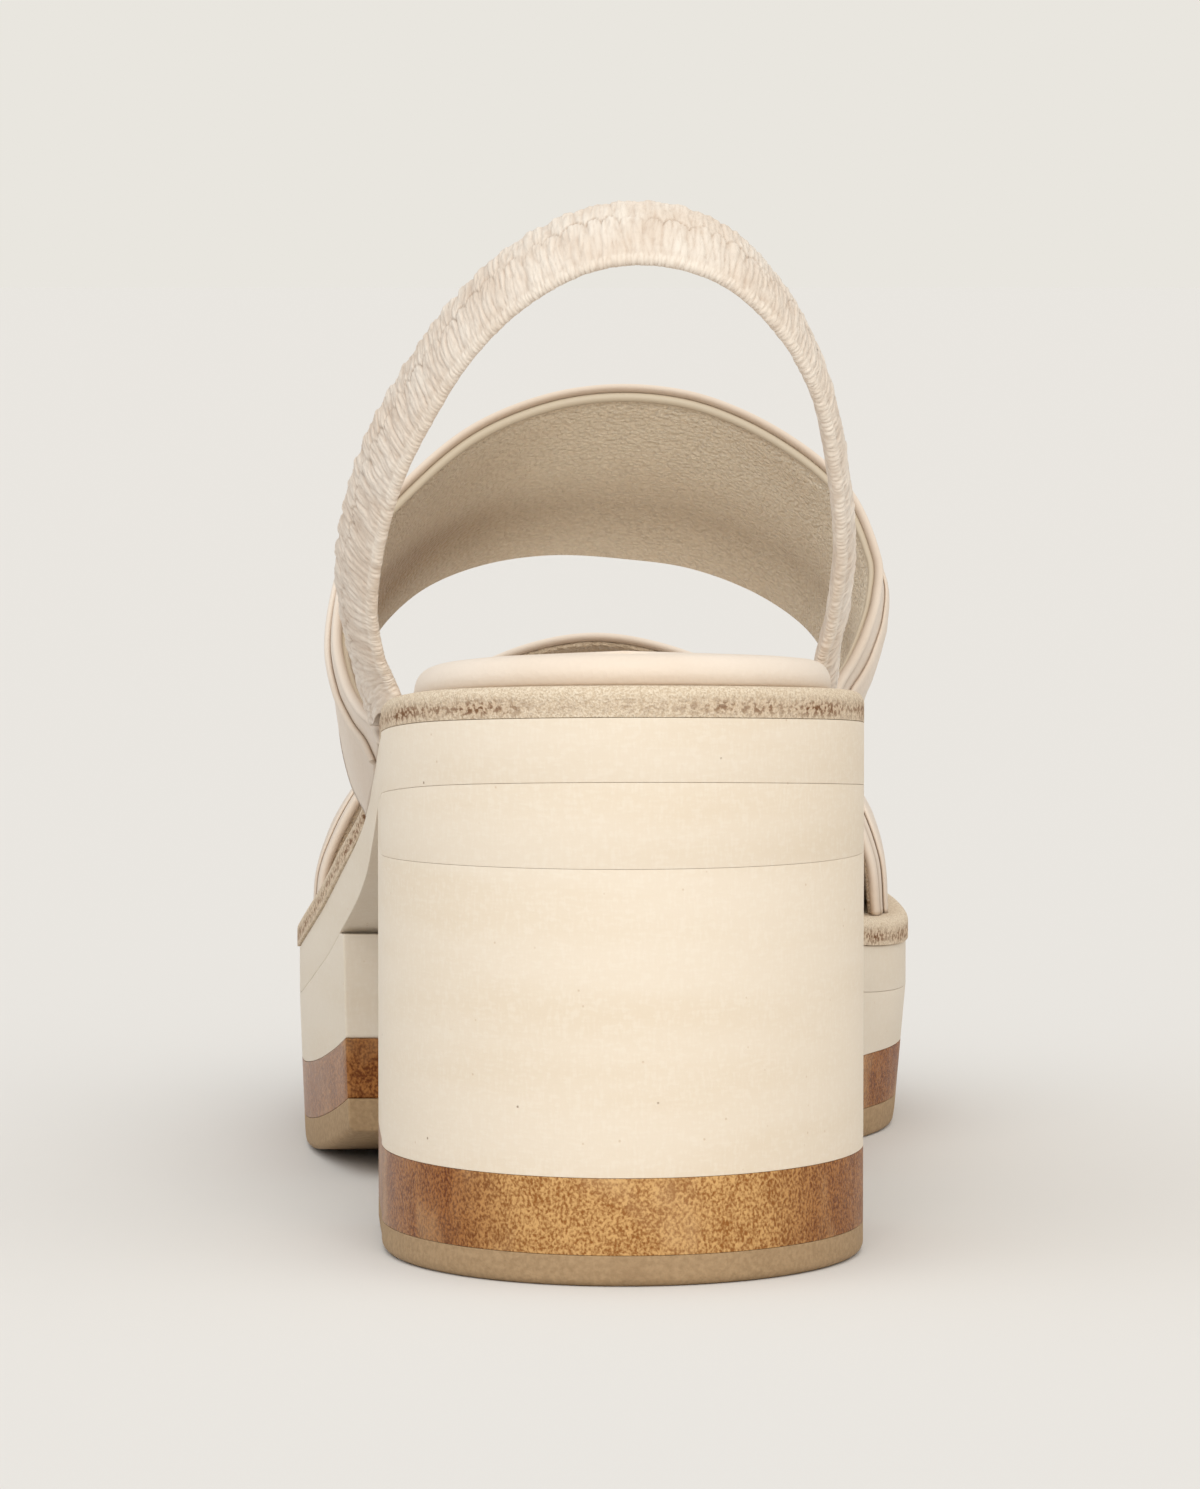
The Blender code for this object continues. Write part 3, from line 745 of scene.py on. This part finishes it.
INSTEP_FRONT = (  # x, y, z of the front edge
    (-36.0, 103.0, 55.3), (-37.6, 113.0, 60.8), (-38.0, 123.0, 65.8), (-36.8, 133.5, 71.0),
    (-33.4, 143.0, 76.7), (-27.0, 152.0, 81.8), (-18.0, 158.5, 85.0), (-8.0, 161.3, 86.2),
    (2.5, 160.5, 85.6), (12.5, 158.0, 84.2), (22.0, 152.8, 80.8), (29.0, 146.0, 76.2),
    (32.6, 136.0, 71.0), (33.4, 122.0, 63.6), (31.0, 105.5, 55.5),
)


def foot_points(y, side, inset, stand):
    """Where a strap's outer face stands: on the sole's edge, moved in by inset."""
    x, _ = edge_points(y, side, inset)
    return np.stack([x, y, stand(y) + GLUE], -1)


def even_points(points, count):
    """Evenly spaced points on a smooth curve through a row of points."""
    points = np.array(points, float)
    keys = np.append(0, np.cumsum(np.linalg.norm(np.diff(points[:, :3], axis=0), axis=1)))
    fine = curve_at(keys, points, np.linspace(0, keys[-1], 6001))
    run = np.append(0, np.cumsum(np.linalg.norm(np.diff(fine[:, :3], axis=0), axis=1)))
    wanted = np.linspace(0, run[-1], count)
    return np.stack([np.interp(wanted, run, column) for column in fine.T], -1)


def unit(vectors):
    """Vectors of length one."""
    return vectors / np.linalg.norm(vectors, axis=-1, keepdims=True)


class Band:
    """The smooth outer face of one band, to which plies and lining are fitted.

    At every step across the foot the face is straight from the rear edge's curve to the front
    edge's, swollen by a parabola; towards each foot it bends to the line on which it stands.
    """

    def __init__(self, rear, front, feet, inset, stand, crown, steps):
        self.feet, self.inset, self.stand, self.crown = feet, inset, stand, crown
        edges = []
        for rows, which in ((rear, 0), (front, 1)):
            ends = [
                foot_points(np.array(feet[side][which]), side, inset[side][which], stand)
                for side in (-1, 1)
            ]
            edges.append(even_points([ends[0], *rows, ends[1]], steps))
        self.rear, self.front = edges
        self.place = np.linspace(0, 1, steps)[:, None, None]
        shares = np.broadcast_to(np.linspace(0, 1, 65), (steps, 65))
        ruled, face = self.faces(shares)
        self.swelling = self.normals_of(ruled)
        self.normals = self.normals_of(self.swell(face, shares))
        self.width = np.linalg.norm(np.diff(self.swell(face, shares), axis=1), axis=-1).sum(axis=1)

    def faces(self, shares):
        """The ruled face at shares of the width, and the same bent to the feet."""
        w = shares[..., None]
        ruled = self.rear[:, None] * (1 - w) + self.front[:, None] * w
        face = ruled
        for side, end in ((-1, 0), (1, -1)):
            start, stop = self.feet[side]
            ease = np.clip(shares * 4, 0, 1) ** 2
            inset = self.inset[side][0] * (1 - ease) + self.inset[side][1] * ease
            foot = foot_points(start + (stop - start) * shares, side, inset, self.stand)
            near = np.clip(1 - np.abs(self.place - (end != 0)) / FOOT_FADE, 0, 1)
            fade = near**2 * (3 - 2 * near)
            face = face + fade * (foot - self.rear[end] * (1 - w) - self.front[end] * w)
        return ruled, face

    def normals_of(self, face):
        """Outward normals of a regular grid: across the foot times along the shoe."""
        return unit(np.cross(np.gradient(face, axis=0), np.gradient(face, axis=1)))

    def pick(self, grid, shares):
        """Rows of a regular grid read at other shares of the width."""
        at = np.clip(shares, 0, 1) * (grid.shape[1] - 1)
        low = np.minimum(at.astype(int), grid.shape[1] - 2)
        rows = np.arange(len(grid))[:, None]
        part = (at - low)[..., None]
        return grid[rows, low] * (1 - part) + grid[rows, low + 1] * part

    def swell(self, face, shares):
        """The face pushed out by a parabola across its width."""
        amount = self.crown * 4 * np.clip(shares * (1 - shares), 0, 1)[..., None]
        ease = np.clip(np.sin(np.pi * self.place) * 3, 0, 1)
        return face + amount * ease * self.pick(self.swelling, shares)

    def points(self, shares, heights):
        """Points at shares of the width and heights over the face, with level ends."""
        face = self.swell(self.faces(shares)[1], shares)
        normals = self.pick(self.normals, shares)
        normals[0, :, 2] = 0
        normals[-1, :, 2] = 0
        grid = face + unit(normals) * heights[..., None]
        for end in (0, -1):
            grid[end, :, 2] = self.stand(grid[end, :, 1]) + END_GLUE
        return grid


def joined(steps, *stretches):
    """A section at every step, a column, made of stretches that follow one another.

    Each stretch gives its places on the width, its heights and, where wanted, its painted shade.
    """
    parts = [np.stack(np.broadcast_arrays(*stretch, steps)[:-1]) for stretch in stretches]
    return np.concatenate(parts, axis=2)


def ply_section(band, edges, lifts, roll):
    """Section of the outer leather at each step: shares of the width, heights, painted shade.

    The plies' edges lie at distances from the rear edge, and lifts are their heights.

    Every row of the profile is an offset in millimetres from a ply's edge; a ply's face runs
    on from its roll to just under the next ply's roll. The ring goes round the rear roll,
    over each ply, round the front edge and back along the underside. roll gives the rear
    roll's radius along the face at each step; it is thinner than wide. Painted shade darkens the
    leather under the rolls, in the groove ahead of the rear one where that is low, and near the
    feet.
    """
    width = band.width[:, None]
    low = np.abs(np.linspace(-1, 1, len(width)))[:, None] ** FOOT_POWER
    roll = roll[:, None]
    thick = ROLL_THICK[0] + ROLL_THICK[1] * roll
    turn = np.radians(np.linspace(-90, 90, 11))
    # Painted shade on the rear roll's underside, less near the feet.
    painted_dark = np.clip(0.62 - 0.4 * low - 0.6 * np.sin(turn), 0, 1) * 0.75
    height = thick * np.sin(turn) - PLY_DEPTH + thick
    stretches = [((roll - roll * np.cos(turn)) / width, height, painted_dark)]
    run, sink, painted_dark = np.array(BEHIND_ROLL).T
    run = roll + run * roll
    top = 2 * thick - PLY_DEPTH
    here = np.zeros_like(width)
    for ply, following in enumerate([*edges, band.width]):
        ahead = following[:, None] / width
        if ply > 0:
            run, sink, painted_dark = np.array(BEHIND_NOSE).T
            run = NOSE_AHEAD + run
            top = lifts[ply - 1][:, None]
            nose = np.radians(np.linspace(-80, 90, 9))
            place = here + (NOSE_AHEAD - NOSE * np.cos(nose)) / width
            # Painted shade under a ply's nose.
            under_nose = np.clip(-np.sin(nose), 0, 1) ** 2 * 0.8
            stretches.append((place, top * (0.5 + 0.5 * np.sin(nose)), under_nose))
        stretches.append((here + run / width, top * sink, painted_dark * low))
        rest = np.linspace(0, 1, 9)[1:]
        begin = here + run[..., -1:] / width
        height = top * sink[-1] * (1 - rest) + 0.1 * np.sin(np.pi * rest)
        stretches.append((begin + (ahead - 0.1 / width - begin) * rest, height, 0))
        here = ahead
    turn = np.radians(np.linspace(90, -90, 9))
    stretches.append((1 + (0.5 * np.cos(turn) - 0.4) / width, 0.5 * np.sin(turn) - 0.4, 0))
    stretches.append((np.linspace(0.97, 0.03, 14), -PLY_UNDERSIDE, 0))
    shares, heights, painted_darkness = joined(width, *stretches)
    return shares, heights, np.clip(painted_darkness + 0.44 * low, 0, 1)


def last_lift(along):
    """Height of the last ply's edge: next to none near the feet, 0.6 mm over the middle."""
    return 0.02 + 0.6 * np.clip(np.sin(np.pi * along) * 2.2 - 1.0, 0, 1)


instep = Band(
    INSTEP_REAR, INSTEP_FRONT, INSTEP_FEET, INSTEP_INSET, seat, INSTEP_CROWN, INSTEP_STEPS
)
along = np.linspace(0, 1, INSTEP_STEPS)
second = curve_at([0, 0.12, 0.5, 0.8, 0.88, 0.95, 1], [16.0, 9.0, 10.0, 8.0, 6.2, 5.6, 7.0], along)
third = second + curve_at([0, 0.2, 0.5, 0.8, 1], [8.0, 13.0, 18.0, 13.0, 8.0], along)
roll = curve_at([0, 0.07, 0.2, 0.5, 0.8, 0.93, 1], [0.95, 0.95, 0.82, 0.72, 0.72, 0.85, 0.95], along)
lift_two = curve_at([0, 0.5, 0.8, 0.92, 1], [0.95, 0.9, 0.5, 0.75, 0.95], along)
lifts = (lift_two, last_lift(along))
shares, heights, creases = ply_section(instep, (second, third), lifts, roll)
band_grid = instep.points(shares, heights)
fit(solid("instep_band_plies", band_grid, crease=creases), leather, "cream_leather", "instep_band")


def lining_section(band, hollow, start, size):
    """Section of a band's lining: a thin sheet under the plies with a rolled rear edge.

    hollow gives, at shares of the width, how far the sheet stands in towards the foot. start
    and size are the rolled edge's distance from the band's own and its radius at each step.
    """
    width = band.width[:, None]
    start = start[:, None]
    size = size[:, None]
    turn = np.radians(np.linspace(90, -90, 9))
    front = 1 + (0.45 * np.cos(turn) - 0.75) / width
    inner = 0.96 + (((start + 1.6) / width) - 0.96) * np.linspace(0, 1, 48) ** 0.8
    sunk = -LINING_INNER - curve_at(*hollow, inner)
    sunk = sunk + 0.4 * np.exp(-((inner * width - start - 1.9) / 1.2) ** 2)
    over = np.radians(np.linspace(-90, 90, 13))
    rear = (start + size * (1 - np.cos(over))) / width
    return joined(
        width,
        (front, 0.5 * np.sin(turn) - LINING_FRONT),
        (inner, sunk),
        (rear, size * 1.1 * np.sin(over) - LINING_ROLL - size * 1.1),
        (np.linspace(0.2, 0.94, 8), -LINING_OUTER),
    )


lining = Finish("lining_leather", roughness=0.48, specular_ior_level=0.5)
loose = 1 - lining.read("rolled")  # the grain is deepest where the leather hangs free
pebbles = lining.cells(0.75, stretch=(1, 1, 1.4)) + lining.cloud(0.5, 3) * 0.6
cast = lining.cloud(20, 2).step(0.35, 0.65)
base = lining.mix(swatch(254, 242, 220), swatch(250, 236, 213), cast)
base = lining.mix(swatch(194, 180, 158), base, loose.step(0.0, 1.0))
base = lining.mix(base, swatch(206, 184, 154), pebbles.step(0.6, 1.05) * loose * 0.18)
# Painted shade: darker in the hollow, towards the feet and just ahead of the roll.
lining.feed(base_color=lining.mix(base, swatch(156, 127, 94), lining.read("crease") * 0.75))
lining.emboss((1 - pebbles) * loose, 0.5)

hollow = ([0, 0.15, 0.4, 0.62, 0.74, 0.86, 1], [0, 0.25, 0.9, 0.5, 0.0, 0.35, 0])
tuck_at = [0, 0.08, 0.18, 0.3, 0.7, 0.83, 0.93, 1]
tuck = curve_at(tuck_at, [3.4, 3.2, 1.8, 0.5, 0.5, 0.6, 2.4, 3.4], along)
size = curve_at([0, 0.15, 0.3, 0.5, 0.7, 0.85, 1], [0.3, 0.36, 0.52, 0.62, 0.52, 0.32, 0.3], along)
shares, heights = lining_section(instep, hollow, tuck, size)
from_roll = shares * instep.width[:, None] - tuck[:, None] - 2 * size[:, None]
rolled = np.clip(0.5 - from_roll / 0.8, 0, 1)
# Painted shade darkens it in the hollow, most on the lateral side, and towards the feet and the
# roll.
lateral = 1 - along[:, None]
trough = 0.7 - 0.14 * np.clip(lateral - 0.5, 0, 1)
deep = np.exp(-(((shares - trough) / (0.14 + 0.08 * lateral)) ** 2)) * (heights < -LINING_HOLLOW)
deep = deep * (0.2 + 0.6 * lateral**1.5)
sides = curve_at([0, 0.3, 0.4, 0.47, 0.54, 0.7, 1], [0.8, 0.8, 0.5, 0.1, 0, 0.2, 0.4], along)
deep = deep + sides[:, None] * (1 - rolled)
deep = deep + np.exp(-((along[:, None] / 0.12) ** 2)) * 0.5
deep = np.clip(deep + np.exp(-(((from_roll - 0.1) / 0.9) ** 2)) * 0.4, 0, 1.2)
lined = solid("instep_lining", instep.points(shares, heights), crease=deep, rolled=rolled)
fit(lined, lining, "cream_leather")

# ---- Toe band ----
# The second band, over the toes: the same folded plies and lining, its ends tucked down
# between the footbed and the board's edge.

TOE_FEET = {-1: (150.0, 203.0), 1: (166.5, 206.0)}
TOE_INSET = {-1: (2.5, 1.9), 1: (3.2, 3.0)}
TOE_CROWN = 1.35
TOE_STEPS = 340
TOE_ROLL = 0.85
TOE_LINING_ROLL = 0.35
TOE_REAR = (
    (-41.2, 151.5, 39.5), (-39.1, 154.0, 44.8), (-35.9, 158.5, 50.4), (-29.0, 167.0, 59.4),
    (-18.0, 178.0, 68.2), (-2.0, 185.0, 72.1), (14.0, 182.5, 68.8), (25.6, 177.0, 61.4),
    (34.4, 171.5, 50.4), (38.8, 168.0, 40.2),
)
TOE_FRONT = (
    (-35.4, 203.5, 43.0), (-31.0, 208.0, 50.5), (-21.0, 214.5, 56.8), (-8.0, 219.0, 59.2),
    (6.0, 220.0, 59.2), (21.6, 217.0, 57.9), (32.0, 211.5, 51.4), (36.8, 207.0, 43.0),
)

toe = Band(TOE_REAR, TOE_FRONT, TOE_FEET, TOE_INSET, board_top, TOE_CROWN, TOE_STEPS)
along = np.linspace(0, 1, TOE_STEPS)
second = curve_at([0, 0.15, 0.5, 0.85, 1], [5.5, 4.6, 8.0, 4.6, 5.5], along)
third = second + curve_at([0, 0.2, 0.5, 0.8, 1], [15.0, 13.0, 13.0, 11.0, 11.0], along)
lift_two = curve_at([0, 0.3, 0.5, 1], [0.5, 0.7, 0.9, 0.7], along)
lifts = (lift_two, last_lift(along))
roll = np.full_like(along, TOE_ROLL)
shares, heights, creases = ply_section(toe, (second, third), lifts, roll)
band_grid = toe.points(shares, heights)
fit(solid("toe_band_plies", band_grid, crease=creases), leather, "cream_leather", "toe_band")
hollow = ([0, 0.2, 0.5, 0.8, 1], [0, 0.2, 0.4, 0.2, 0])
tuck = 2.6 - 1.9 * np.clip(np.sin(np.pi * along) * 1.5, 0, 1)
shares, heights = lining_section(toe, hollow, tuck, np.full_like(along, TOE_LINING_ROLL))
# Painted shade: the whole toe lining is darkened, as it lies in the band's shadow.
painted_dark = np.full_like(heights, 0.9)
lined = solid("toe_lining", toe.points(shares, heights), crease=painted_dark, rolled=painted_dark * 0)
fit(lined, lining, "cream_leather")

# ---- Slingback ----
# An elastic strap behind the heel in a sleeve of thin cream leather. The sleeve is longer than
# the elastic and gathers into fine cross folds; a scalloped stitch line holds it lengthwise.

SLING_WIDTH = 12.0
SLING_FOOT = 51.0
SLING_INSET = {-1: 1.1, 1: 3.4}
SLING_TURN = {-1: (-18, -11), 1: (9, -11)}  # turn and climb of the width at the feet
SLING_STEPS = 1560
SCALLOP = 2.55
STITCH = 0.15
LONG_FOLD = (1.45, 17.0)  # pitch along the strap, reach across it
SHORT_FOLD = (0.8, 4.5)
SWELL = (4.2, 16.0)
HEM = 4.8  # where the hem begins, below the middle of the width
HEM_SEAM = 0.3
GATHER = 0.6
RIM = 0.75
THIN = 0.8  # half the sleeve's thickness at its rims
NOTCH_DIP = 1.3  # how far the lateral foot goes down in the board's notch
NOTCH_DIP_RAMP = 2.5
NOTCH_DIP_REACH = 9.0
SLING = (  # x, y, z, turn and climb of the width's direction in degrees
    (-31.9, 50.9, 73.8, -20, 0), (-33.2, 49.4, 78.0, -23, 15), (-34.1, 45.4, 85.0, -26, 27),
    (-32.8, 39.0, 93.5, -24, 31), (-29.9, 32.8, 102.5, -21, 33), (-25.7, 27.7, 110.3, -16, 35),
    (-20.3, 22.6, 118.3, -11, 37), (-13.3, 18.3, 125.0, -7, 38), (-4.7, 15.5, 129.5, -3, 38),
    (4.0, 14.6, 130.4, 0, 38), (12.6, 15.4, 127.6, 1, 35), (19.7, 18.1, 120.9, 1, 29),
    (24.6, 22.6, 112.0, 1, 21), (27.05, 28.2, 102.0, 2, 15), (28.4, 34.8, 91.5, 5, 13),
    (28.0, 43.4, 82.0, 8, 12), (27.0, 48.4, 75.8, 9, 4),
)

path = []
for side in (-1, 1):
    foot_y = np.array(SLING_FOOT)
    x, _ = edge_points(foot_y, side, SLING_INSET[side])
    path.append((x, foot_y, board_top(foot_y) + END_GLUE, *SLING_TURN[side]))
rows = even_points([path[0], *SLING, path[1]], SLING_STEPS)
spine = rows[:, :3]
strap_along = unit(np.gradient(spine, axis=0))
strap_along[0] = (0, 0, 1)
strap_along[-1] = (0, 0, -1)
turn, climb = np.radians(rows[:, 3]), np.radians(rows[:, 4])
level_wide = np.cos(climb)
strap_wide = np.stack([np.sin(turn) * level_wide, np.cos(turn) * level_wide, np.sin(climb)], -1)
strap_wide = unit(strap_wide - strap_along * (strap_wide * strap_along).sum(-1, keepdims=True))
strap_out = np.cross(strap_along, strap_wide)
run = np.append(0, np.cumsum(np.linalg.norm(np.diff(spine, axis=0), axis=1)))[:, None]


def folds(across, along, seed):
    """Leaf-shaped folds, from 0 in the creases between them to 1 on their backs.

    Points are scattered one to a unit square; a place's height is the distance to the second
    nearest point less the distance to the nearest.
    """
    column, row = np.floor(across), np.floor(along)
    near = np.full(np.broadcast_shapes(across.shape, along.shape), 9.0)
    second = near
    for i in (-1, 0, 1):
        for j in (-1, 0, 1):
            chance = np.sin((column + i) * 127.1 + (row + j) * 311.7 + seed) * 43758.5
            chance = chance - np.floor(chance)
            other = chance * 57.3 - np.floor(chance * 57.3)
            away = np.hypot(column + i + chance - across, row + j + other - along)
            second = np.minimum(second, np.maximum(near, away))
            near = np.minimum(near, away)
    return np.clip((second - near) * 1.7, 0, 1) ** 0.6


def scallops(run):
    """Where the stitch line lies on the width: arches that meet in points, and their phase."""
    phase = np.pi * (run + 0.35 * np.sin(run * 0.9) + 0.3 * np.sin(run * 0.37)) / SCALLOP
    drift = 0.3 * np.sin(run * 0.4) + 0.25 * np.sin(run * 0.17 + 1)
    return 0.6 + drift + 1.5 * np.abs(np.sin(phase)) ** 0.6, phase


def sleeve(run, wide):
    """Height of the gathered leather over the elastic's outer face, and how much painted shade it
    takes.

    Long folds cross the strap, with finer ones over them and slow swells below; they are
    calmer round the strap's top and near its lateral foot, where the leather is stretched. The
    stitch line presses a groove that comes and goes, and short creases leave its points and
    arches. The lower edge is a narrow hem, gathered more finely beyond a seam of its own.
    """
    line, phase = scallops(run)
    away = wide - line
    medial = np.maximum(run - run[-1] * 0.6, 0)
    lean = wide * (0.12 + 0.1 * np.sin(run * 0.045 + 2.0)) + 0.12 * np.sin(wide * 0.8 + run * 0.6)
    lean = (lean + 0.6 * (away > 0)) * np.exp(-medial / 12) + 0.6 * medial
    long = folds((run + lean) / LONG_FOLD[0], wide / LONG_FOLD[1], 0.3)
    short = folds((run + lean * 0.7) / SHORT_FOLD[0], wide / SHORT_FOLD[1] + 5, 4.1)
    swell = folds((run + wide * 0.3) / SWELL[0], wide / SWELL[1], 2.7)
    top = np.exp(-(((run - run[-1] * 0.5) / 38) ** 2))
    calm = 1 - 0.45 * top - 0.45 * np.exp(-((run / 35) ** 2))
    calm = calm * np.clip(wide + 5.6, 0.3, 1)
    points = np.exp(-((np.sin(phase) / 0.24) ** 2)) * np.exp(-np.clip(-away, 0, 9) / 1.6)
    tops = np.exp(-((np.cos(phase) / 0.22) ** 2)) * np.exp(-np.clip(away, 0, 9) / 1.8)
    deep = np.where(away < 0, points, tops)
    pressed = 0.6 + 0.4 * np.sin(run * 0.5 + 1.5 * np.sin(run * 0.13))
    groove = np.exp(-((away / STITCH) ** 2)) * pressed
    height = (0.34 * long + 0.26 * swell) * calm + 0.14 * short - 0.16 * deep - 0.28 * groove
    # Painted shade in the creases between folds, in the stitch groove and at its points and arches,
    # and near the lateral foot.
    creased = 0.45 * (1 - long) ** 2 * calm + 0.25 * (1 - short) ** 2 + 0.6 * groove + 0.3 * deep
    creased = creased + 0.16 * np.exp(-((run / 48) ** 2))
    hem = np.clip((-HEM - wide) / HEM_SEAM, 0, 1)
    gathers = folds(run / GATHER, wide / 3, 6.3)
    seam = np.exp(-(((wide + HEM) / HEM_SEAM) ** 2))
    height = height * (1 - 0.8 * hem) + hem * (0.13 * gathers + 0.1) - 0.06 * seam
    # Painted shade between the hem's gathers and along its seam.
    creased = creased * (1 - 0.6 * hem) + hem * 0.4 * (1 - gathers) ** 2 + 0.1 * seam
    return height, np.clip(creased, 0, 1)


flat_width = SLING_WIDTH / 2 - RIM
face_wide = np.linspace(-flat_width, flat_width, 32)[None]
height, crease = sleeve(run, face_wide)
turn = np.radians(np.linspace(90, -90, 10))[None]
over = np.clip(np.sin(turn) + 0.45, 0, 1)
ruffles = folds(run / GATHER, turn / 3 - 2.5, 6.3)
wave = 0.24 * np.sin(2 * np.pi * run / 3.7 + np.sin(run * 0.21))
wave = wave + 0.16 * np.sin(2 * np.pi * run / 1.9 + 1)
wave = wave * (1 + 0.8 * np.exp(-((run / 55) ** 2)))


def rim_points(side):
    """A rounded edge of the sleeve: half an oval whose folds die out towards the inner face."""
    at = side * (flat_width + RIM * np.cos(turn))
    folded, creased = sleeve(run, side * (flat_width + RIM * 0.9 * np.cos(turn)))
    ripple = (wave if side > 0 else wave * 0.2) + 0.2 * ruffles
    out = THIN * np.sin(turn) + (folded - 0.3) * over
    # Painted shade follows the folds and falls between the ruffles towards the inner face.
    return at + side * np.cos(turn) * ripple, out, creased * over + (1 - over) * 0.5 * (1 - ruffles)


high_rim = rim_points(1)
low_rim = [part[:, ::-1] for part in rim_points(-1)]
inner_wide = np.linspace(5.0, -5.0, 8)[None]
inner = folds(run / 1.4, inner_wide / 6, 5.0)
face_out = THIN - 0.3 + 0.6 * (1 - (face_wide / flat_width) ** 2) + height
inner_out = -THIN - 0.4 * (1 - (inner_wide / flat_width) ** 2) - 0.15 * inner
# Painted shade between the inner face's folds.
inner_face = (inner_wide, inner_out, (1 - inner) * 0.5)
wides, outs, creases = joined(run, (face_wide, face_out, crease), high_rim, inner_face, low_rim)
strap_map = np.stack(np.broadcast_arrays(run, wides, 0.0), -1) * MM
sling_grid = spine[:, None] + strap_wide[:, None] * wides[..., None]
sling_grid = sling_grid + strap_out[:, None] * outs[..., None]
for end in (0, -1):
    sling_grid[end, :, 2] = board_top(sling_grid[end, :, 1]) + END_GLUE
in_notch = np.clip((sling_grid[..., 1] - NOTCH_SPAN[-1][0]) / NOTCH_DIP_RAMP, 0, 1)
dip = in_notch * (run < run[-1] / 2) * np.clip(1 - run / NOTCH_DIP_REACH, 0, 1)
sling_grid[..., 2] -= dip * NOTCH_DIP

ruched = Finish("ruched_leather", roughness=0.5, specular_ior_level=0.35)
ruched.place = ruched.read("strap", "Vector")
bloom = ruched.cloud(8, 3).step(0.35, 0.65)
tone = ruched.mix(swatch(230, 220, 208), swatch(223, 209, 194), bloom)
wrinkles = ruched.cloud(0.6, 3, (1, 0.3, 1))
shadows = ruched.read("crease") * 0.85 + (1 - wrinkles.step(0.3, 0.5)) * 0.15
hem = ruched.along(ruched.place, "Y").step(-0.0045, -0.0052)
tone = ruched.mix(tone, swatch(240, 229, 215), hem * 0.35)
ruched.feed(base_color=ruched.mix(tone, swatch(170, 142, 118), shadows))
ruched.emboss(wrinkles + ruched.cells(0.6) * 0.4, 0.16)
sling = solid("slingback_sleeve", sling_grid, crease=creases, strap=strap_map)
fit(sling, ruched, "ruched_leather", "sling_strap")

# ---- Studio ----
# A pale floor that meets a pale sky of the same tone without a line, soft light from all round
# that is strongest above and behind the heel, one broad light from there, and the camera.

PALE = swatch(233, 230, 223)
PAPER = (0.724, 0.708, 0.69, 1)
FLOOR = 60.0
SKY_SPAN = {"From Min": -0.8, "From Max": 0.8}
SKY_LIGHT = {"X": (1.02, 0.93), "Y": (1.22, 0.66), "Z": (0.55, 1.38)}  # low end, high end
SKY_TINTS = ((0.785, 0.80, 0.805, 1), (0.82, 0.80, 0.76, 1))  # lateral, medial
KEY_PLACE = (0.1, -1.45, 1.1)
CAMERA_PLACE = (-0.0156, -1.0225, 0.1255)
CAMERA_AIM = (-0.0018, -0.0213, 0.061)

floor_mesh = bpy.data.meshes.new("studio_floor")
corners = [(-FLOOR, -FLOOR, 0), (FLOOR, -FLOOR, 0), (FLOOR, FLOOR, 0), (-FLOOR, FLOOR, 0)]
floor_mesh.from_pydata(corners, [], [(0, 1, 2, 3)])
floor = placed("studio_floor", floor_mesh)
paper = Finish("studio_paper", base_color=PAPER, roughness=1.0, specular_ior_level=0.0)
floor_mesh.materials.append(paper.material)

world = bpy.data.worlds.new("studio")
world.use_nodes = True
sky = Nodes(world.node_tree)
sky.tree.nodes.remove(sky.tree.nodes["Background"])
toward = sky.node("ShaderNodeTexCoord", output="Generated")
dims = []
for axis, (low, high) in SKY_LIGHT.items():
    inputs = {"Value": sky.along(toward, axis), "To Min": low, "To Max": high, **SKY_SPAN}
    dims.append(sky.node("ShaderNodeMapRange", inputs=inputs))
inputs = {"Value": sky.along(toward, "X"), **SKY_SPAN}
tint = sky.mix(*SKY_TINTS, sky.node("ShaderNodeMapRange", inputs=inputs))
inputs = {"Color": tint, "Strength": dims[0] * dims[1] * dims[2]}
glow = sky.node("ShaderNodeBackground", inputs=inputs)
view = sky.node("ShaderNodeBackground", inputs={"Color": PALE})
seen = sky.node("ShaderNodeLightPath", output="Is Camera Ray")
both = sky.node("ShaderNodeMixShader", inputs={0: seen, 1: glow, 2: view})
sky.give(sky.tree.nodes["World Output"].inputs["Surface"], both)
bpy.context.scene.world = world


def aimed(name, data, place, aim):
    """A light or camera that stands at a place and looks at a point."""
    thing = placed(name, data)
    thing.location = place
    way = np.subtract(aim, thing.location)
    tilt = math.atan2(math.hypot(way[0], way[1]), -way[2])
    thing.rotation_euler = (tilt, 0, math.atan2(way[1], way[0]) - math.pi / 2)
    return thing


key = bpy.data.lights.new("key_light", "SUN")
key.energy = 0.95
key.color = (1.0, 0.95, 0.87)
key.angle = math.radians(40)
aimed("key_light", key, KEY_PLACE, (0, 0, 0))

camera = bpy.data.cameras.new("camera")
camera.lens = 177
camera.clip_start = 0.05
bpy.context.scene.camera = aimed("camera", camera, CAMERA_PLACE, CAMERA_AIM)
bpy.context.scene.view_settings.view_transform = "Standard"
